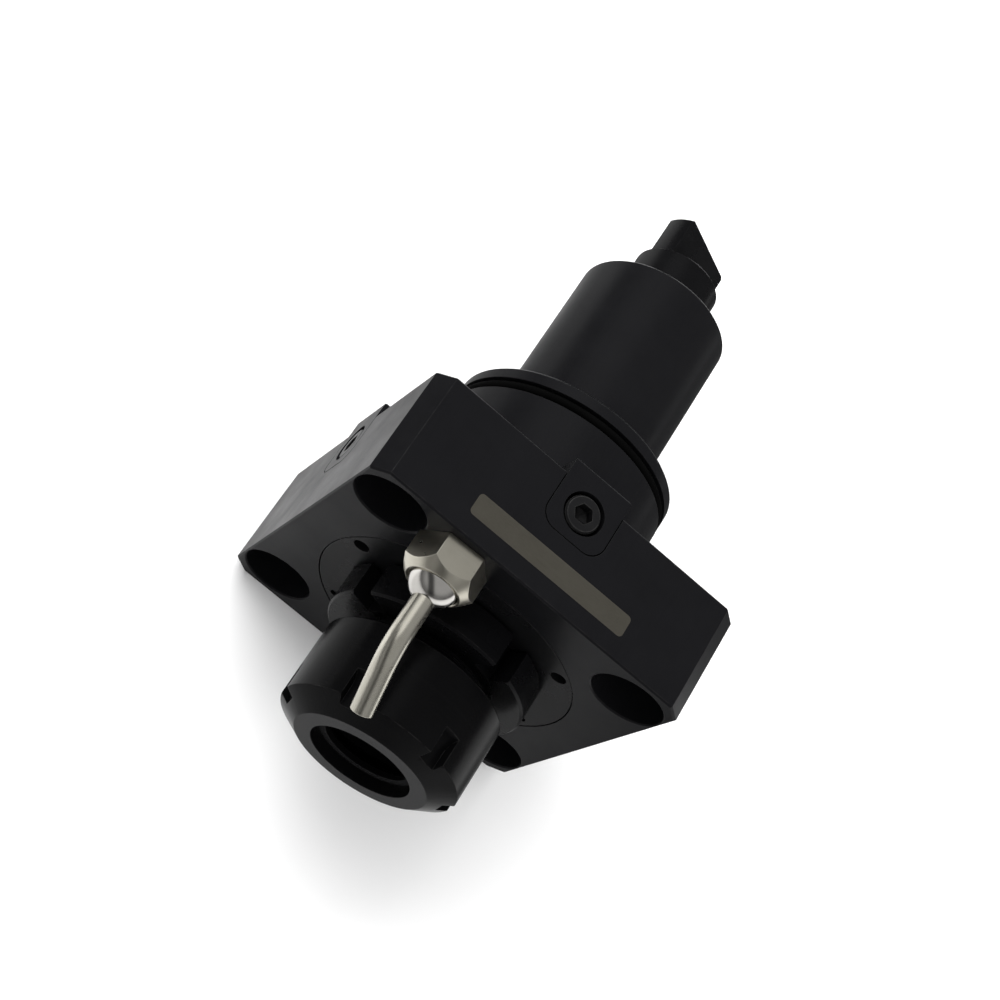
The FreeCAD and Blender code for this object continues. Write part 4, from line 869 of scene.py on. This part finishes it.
# %% Key screws
SCREW_PLACE = 5.2
SCREW_RAISED = 0.7
SCREW_EDGE = 0.12
KEY_SCREW = {"head": 4.15, "height": 5.0, "shank": 2.45, "length": 7.9,
             "flats": 4.0, "depth": 2.6, "edge": 0.4}
screws_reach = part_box("key_screws")[1]
screws = bmesh.new()
for quarter in range(4):
    reach = screws_reach[0 if quarter % 2 else 2]
    fresh = socket_screw(screws, **KEY_SCREW)
    bmesh.ops.translate(
        screws, verts=fresh, vec=(0, -SCREW_PLACE * MM, reach + SCREW_RAISED * MM))
    bmesh.ops.rotate(screws, verts=fresh, cent=(0, 0, 0),
                     matrix=Matrix.Rotation(math.pi / 2 * quarter, 3, "Y"))
bmesh.ops.recalc_face_normals(screws, faces=screws.faces)
soften(screws, SCREW_EDGE * MM)
dress(plain_object("key_screws_finished", screws), "holder", slot_of["key_screws"], screw_black,
      "key_screws")

# %% Grub screws of the cover
GRUB_CIRCLE = 28.8
GRUB_ANGLES = (223.0, 343.0, 103.0)
GRUB_SCREW = {"head": 1.18, "height": 1.0, "shank": 1.1, "length": 2.9,
              "flats": 1.3, "depth": 1.0, "edge": 0.15}
grub_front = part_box("cover_grub_screws")[0][1]
grubs = bmesh.new()
for angle in GRUB_ANGLES:
    fresh = socket_screw(grubs, **GRUB_SCREW)
    bmesh.ops.rotate(grubs, verts=fresh, cent=(0, 0, 0),
                     matrix=Matrix.Rotation(math.pi / 2, 3, "X"))
    bmesh.ops.translate(grubs, verts=fresh, vec=(
        GRUB_CIRCLE * math.cos(math.radians(angle)) * MM, grub_front,
        GRUB_CIRCLE * math.sin(math.radians(angle)) * MM))
bmesh.ops.recalc_face_normals(grubs, faces=grubs.faces)
dress(plain_object("cover_grub_screws_finished", grubs), "holder", slot_of["cover_grub_screws"],
      screw_black, "cover_grub_screws")

# %% [markdown]
# ## Coolant nozzle
# The outlet is a ball on a bent tube. A curve with a round bevel would give the tube, but
# it has no wall, and the open end shows. So a flat ring, the wall's own section, is pushed
# along: straight out of the ball, round the bend with a spin, and straight to the tip.
# The bend and the last run each leave their starting ring inside the wall, where it would
# turn the inner wall's normals round, so those faces go before the normals are set.

# %% Ball and tube
BALL_RADIUS = 5.6
TUBE_RADIUS = 2.5
TUBE_WALL = 0.7
TUBE_SIDES = 64
BEND_RADIUS = 12.0
BEND_ANGLE = math.radians(42)
BEND_STEPS = 28
STRAIGHT = 17.1
TIP = 14.6
TUBE_EDGE = 0.15
BALL_SIDES = 64
BALL_ROWS = 40
ball_centre = Vector(ball_place)
inward = Vector((-ball_centre.x, 0, -ball_centre.z)).normalized()
outward_along = Vector((0, -1, 0))
corner_share = BEND_RADIUS * math.tan(BEND_ANGLE / 2)

tube = bmesh.new()
upright = Matrix.Rotation(math.pi / 2, 4, "X")
rings = [
    bmesh.ops.create_circle(
        tube, radius=radius * MM, segments=TUBE_SIDES, matrix=upright)["verts"]
    for radius in (TUBE_RADIUS, TUBE_RADIUS - TUBE_WALL)
]
ends = bmesh.ops.bridge_loops(
    tube, edges=loop_edges(rings[0]) + loop_edges(rings[1]))["faces"]
bmesh.ops.translate(tube, verts=tube.verts, vec=ball_centre)


def pushed(bm, faces, move):
    """Extrudes faces along a move; returns the faces at the far end."""
    made = bmesh.ops.extrude_face_region(bm, geom=faces)["geom"]
    bmesh.ops.translate(
        bm, verts=[item for item in made if isinstance(item, bmesh.types.BMVert)], vec=move)
    return [item for item in made if isinstance(item, bmesh.types.BMFace)]


ends = pushed(tube, ends, outward_along * (STRAIGHT - corner_share) * MM)
bend_centre = ball_centre + MM * (
    outward_along * (STRAIGHT - corner_share) + inward * BEND_RADIUS)
bend_axis = outward_along.cross(inward)
last = bmesh.ops.spin(
    tube, geom=ends, cent=bend_centre, axis=bend_axis, dvec=(0, 0, 0), angle=BEND_ANGLE,
    steps=BEND_STEPS, use_merge=False, use_duplicate=False)["geom_last"]
ends = [item for item in last if isinstance(item, bmesh.types.BMFace)]
tip_way = Matrix.Rotation(BEND_ANGLE, 3, bend_axis) @ outward_along
ends = pushed(tube, ends, tip_way * (TIP - corner_share) * MM)
inside_wall = [
    face for face in tube.faces if sum(len(edge.link_faces) > 2 for edge in face.edges) == 2]
bmesh.ops.delete(tube, geom=inside_wall, context="FACES")
print("hidden faces taken out of the wall:", len(inside_wall))
bmesh.ops.recalc_face_normals(tube, faces=tube.faces)
soften(tube, TUBE_EDGE * MM, segments=3)
dress(plain_object("nozzle_tube_finished", tube), "nozzle", slot_of["nozzle_tube"],
      nickel_nozzle, "nozzle_tube")

ball = bmesh.new()
bmesh.ops.create_uvsphere(
    ball, u_segments=BALL_SIDES, v_segments=BALL_ROWS, radius=BALL_RADIUS * MM, matrix=upright)
bmesh.ops.translate(ball, verts=ball.verts, vec=ball_centre)
dress(plain_object("nozzle_ball_finished", ball), "nozzle", slot_of["nozzle_ball"],
      nickel_ball, "nozzle_ball")

# %% [markdown]
# ## Marking field
# The upper flank carries a pale, bare field, where the black layer is etched away and the
# metal shows. A mask in the flank's material could paint it, but a thin rounded plate that
# stands a few hundredths of a millimetre proud keeps its crisp edge in the mesh as well.

# %% Marking field
FIELD_CENTRE = (0.1, -19.2)
FIELD_SIZE = (40.6, 5.2)
FIELD_CORNER = 1.0
FIELD_CORNER_STEPS = 6
FIELD_PROUD = 0.04
FIELD_THICKNESS = 0.3
flank_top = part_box("housing")[1][2]
field = bmesh.new()
bmesh.ops.create_grid(field, x_segments=1, y_segments=1, size=0.5)
bmesh.ops.scale(field, verts=field.verts, vec=(FIELD_SIZE[0] * MM, FIELD_SIZE[1] * MM, 1))
bmesh.ops.bevel(
    field, geom=list(field.verts), offset=FIELD_CORNER * MM, offset_type="OFFSET",
    segments=FIELD_CORNER_STEPS, profile=0.5, affect="VERTICES", material=-1,
)
pushed(field, list(field.faces), Vector((0, 0, FIELD_THICKNESS * MM)))
bmesh.ops.translate(field, verts=field.verts, vec=(
    FIELD_CENTRE[0] * MM, FIELD_CENTRE[1] * MM, flank_top + (FIELD_PROUD - FIELD_THICKNESS) * MM))
bmesh.ops.recalc_face_normals(field, faces=field.faces)
dress(plain_object("marking_field", field), "holder", slot_of["nozzle_nut"], etched_field)

# %% [markdown]
# ## Pieces inside
# Bearings, seals and rings show in the other views and when the holder is taken apart.
# Their CAD shapes are right as they are, and only get their finish.

# %% Inner pieces
INNER = {
    "bearing_steel": bearing_steel,
    "cage_brass": cage_brass,
    "ground_steel": ground_steel,
    "seal_rubber": seal_rubber,
    "seal_ring_plastic": seal_plastic,
    "nickel_nut": nickel_nut,
}
REMADE = {"spindle", "key_screws", "cover_grub_screws", "nozzle_ball", "nozzle_tube"}
inner = [node for node in nodes if node not in MACHINED and node not in REMADE]
for node in inner:
    nodes[node].data.materials.clear()
    nodes[node].data.materials.append(INNER[slot_of[node]])
print("inner pieces:", len(inner))
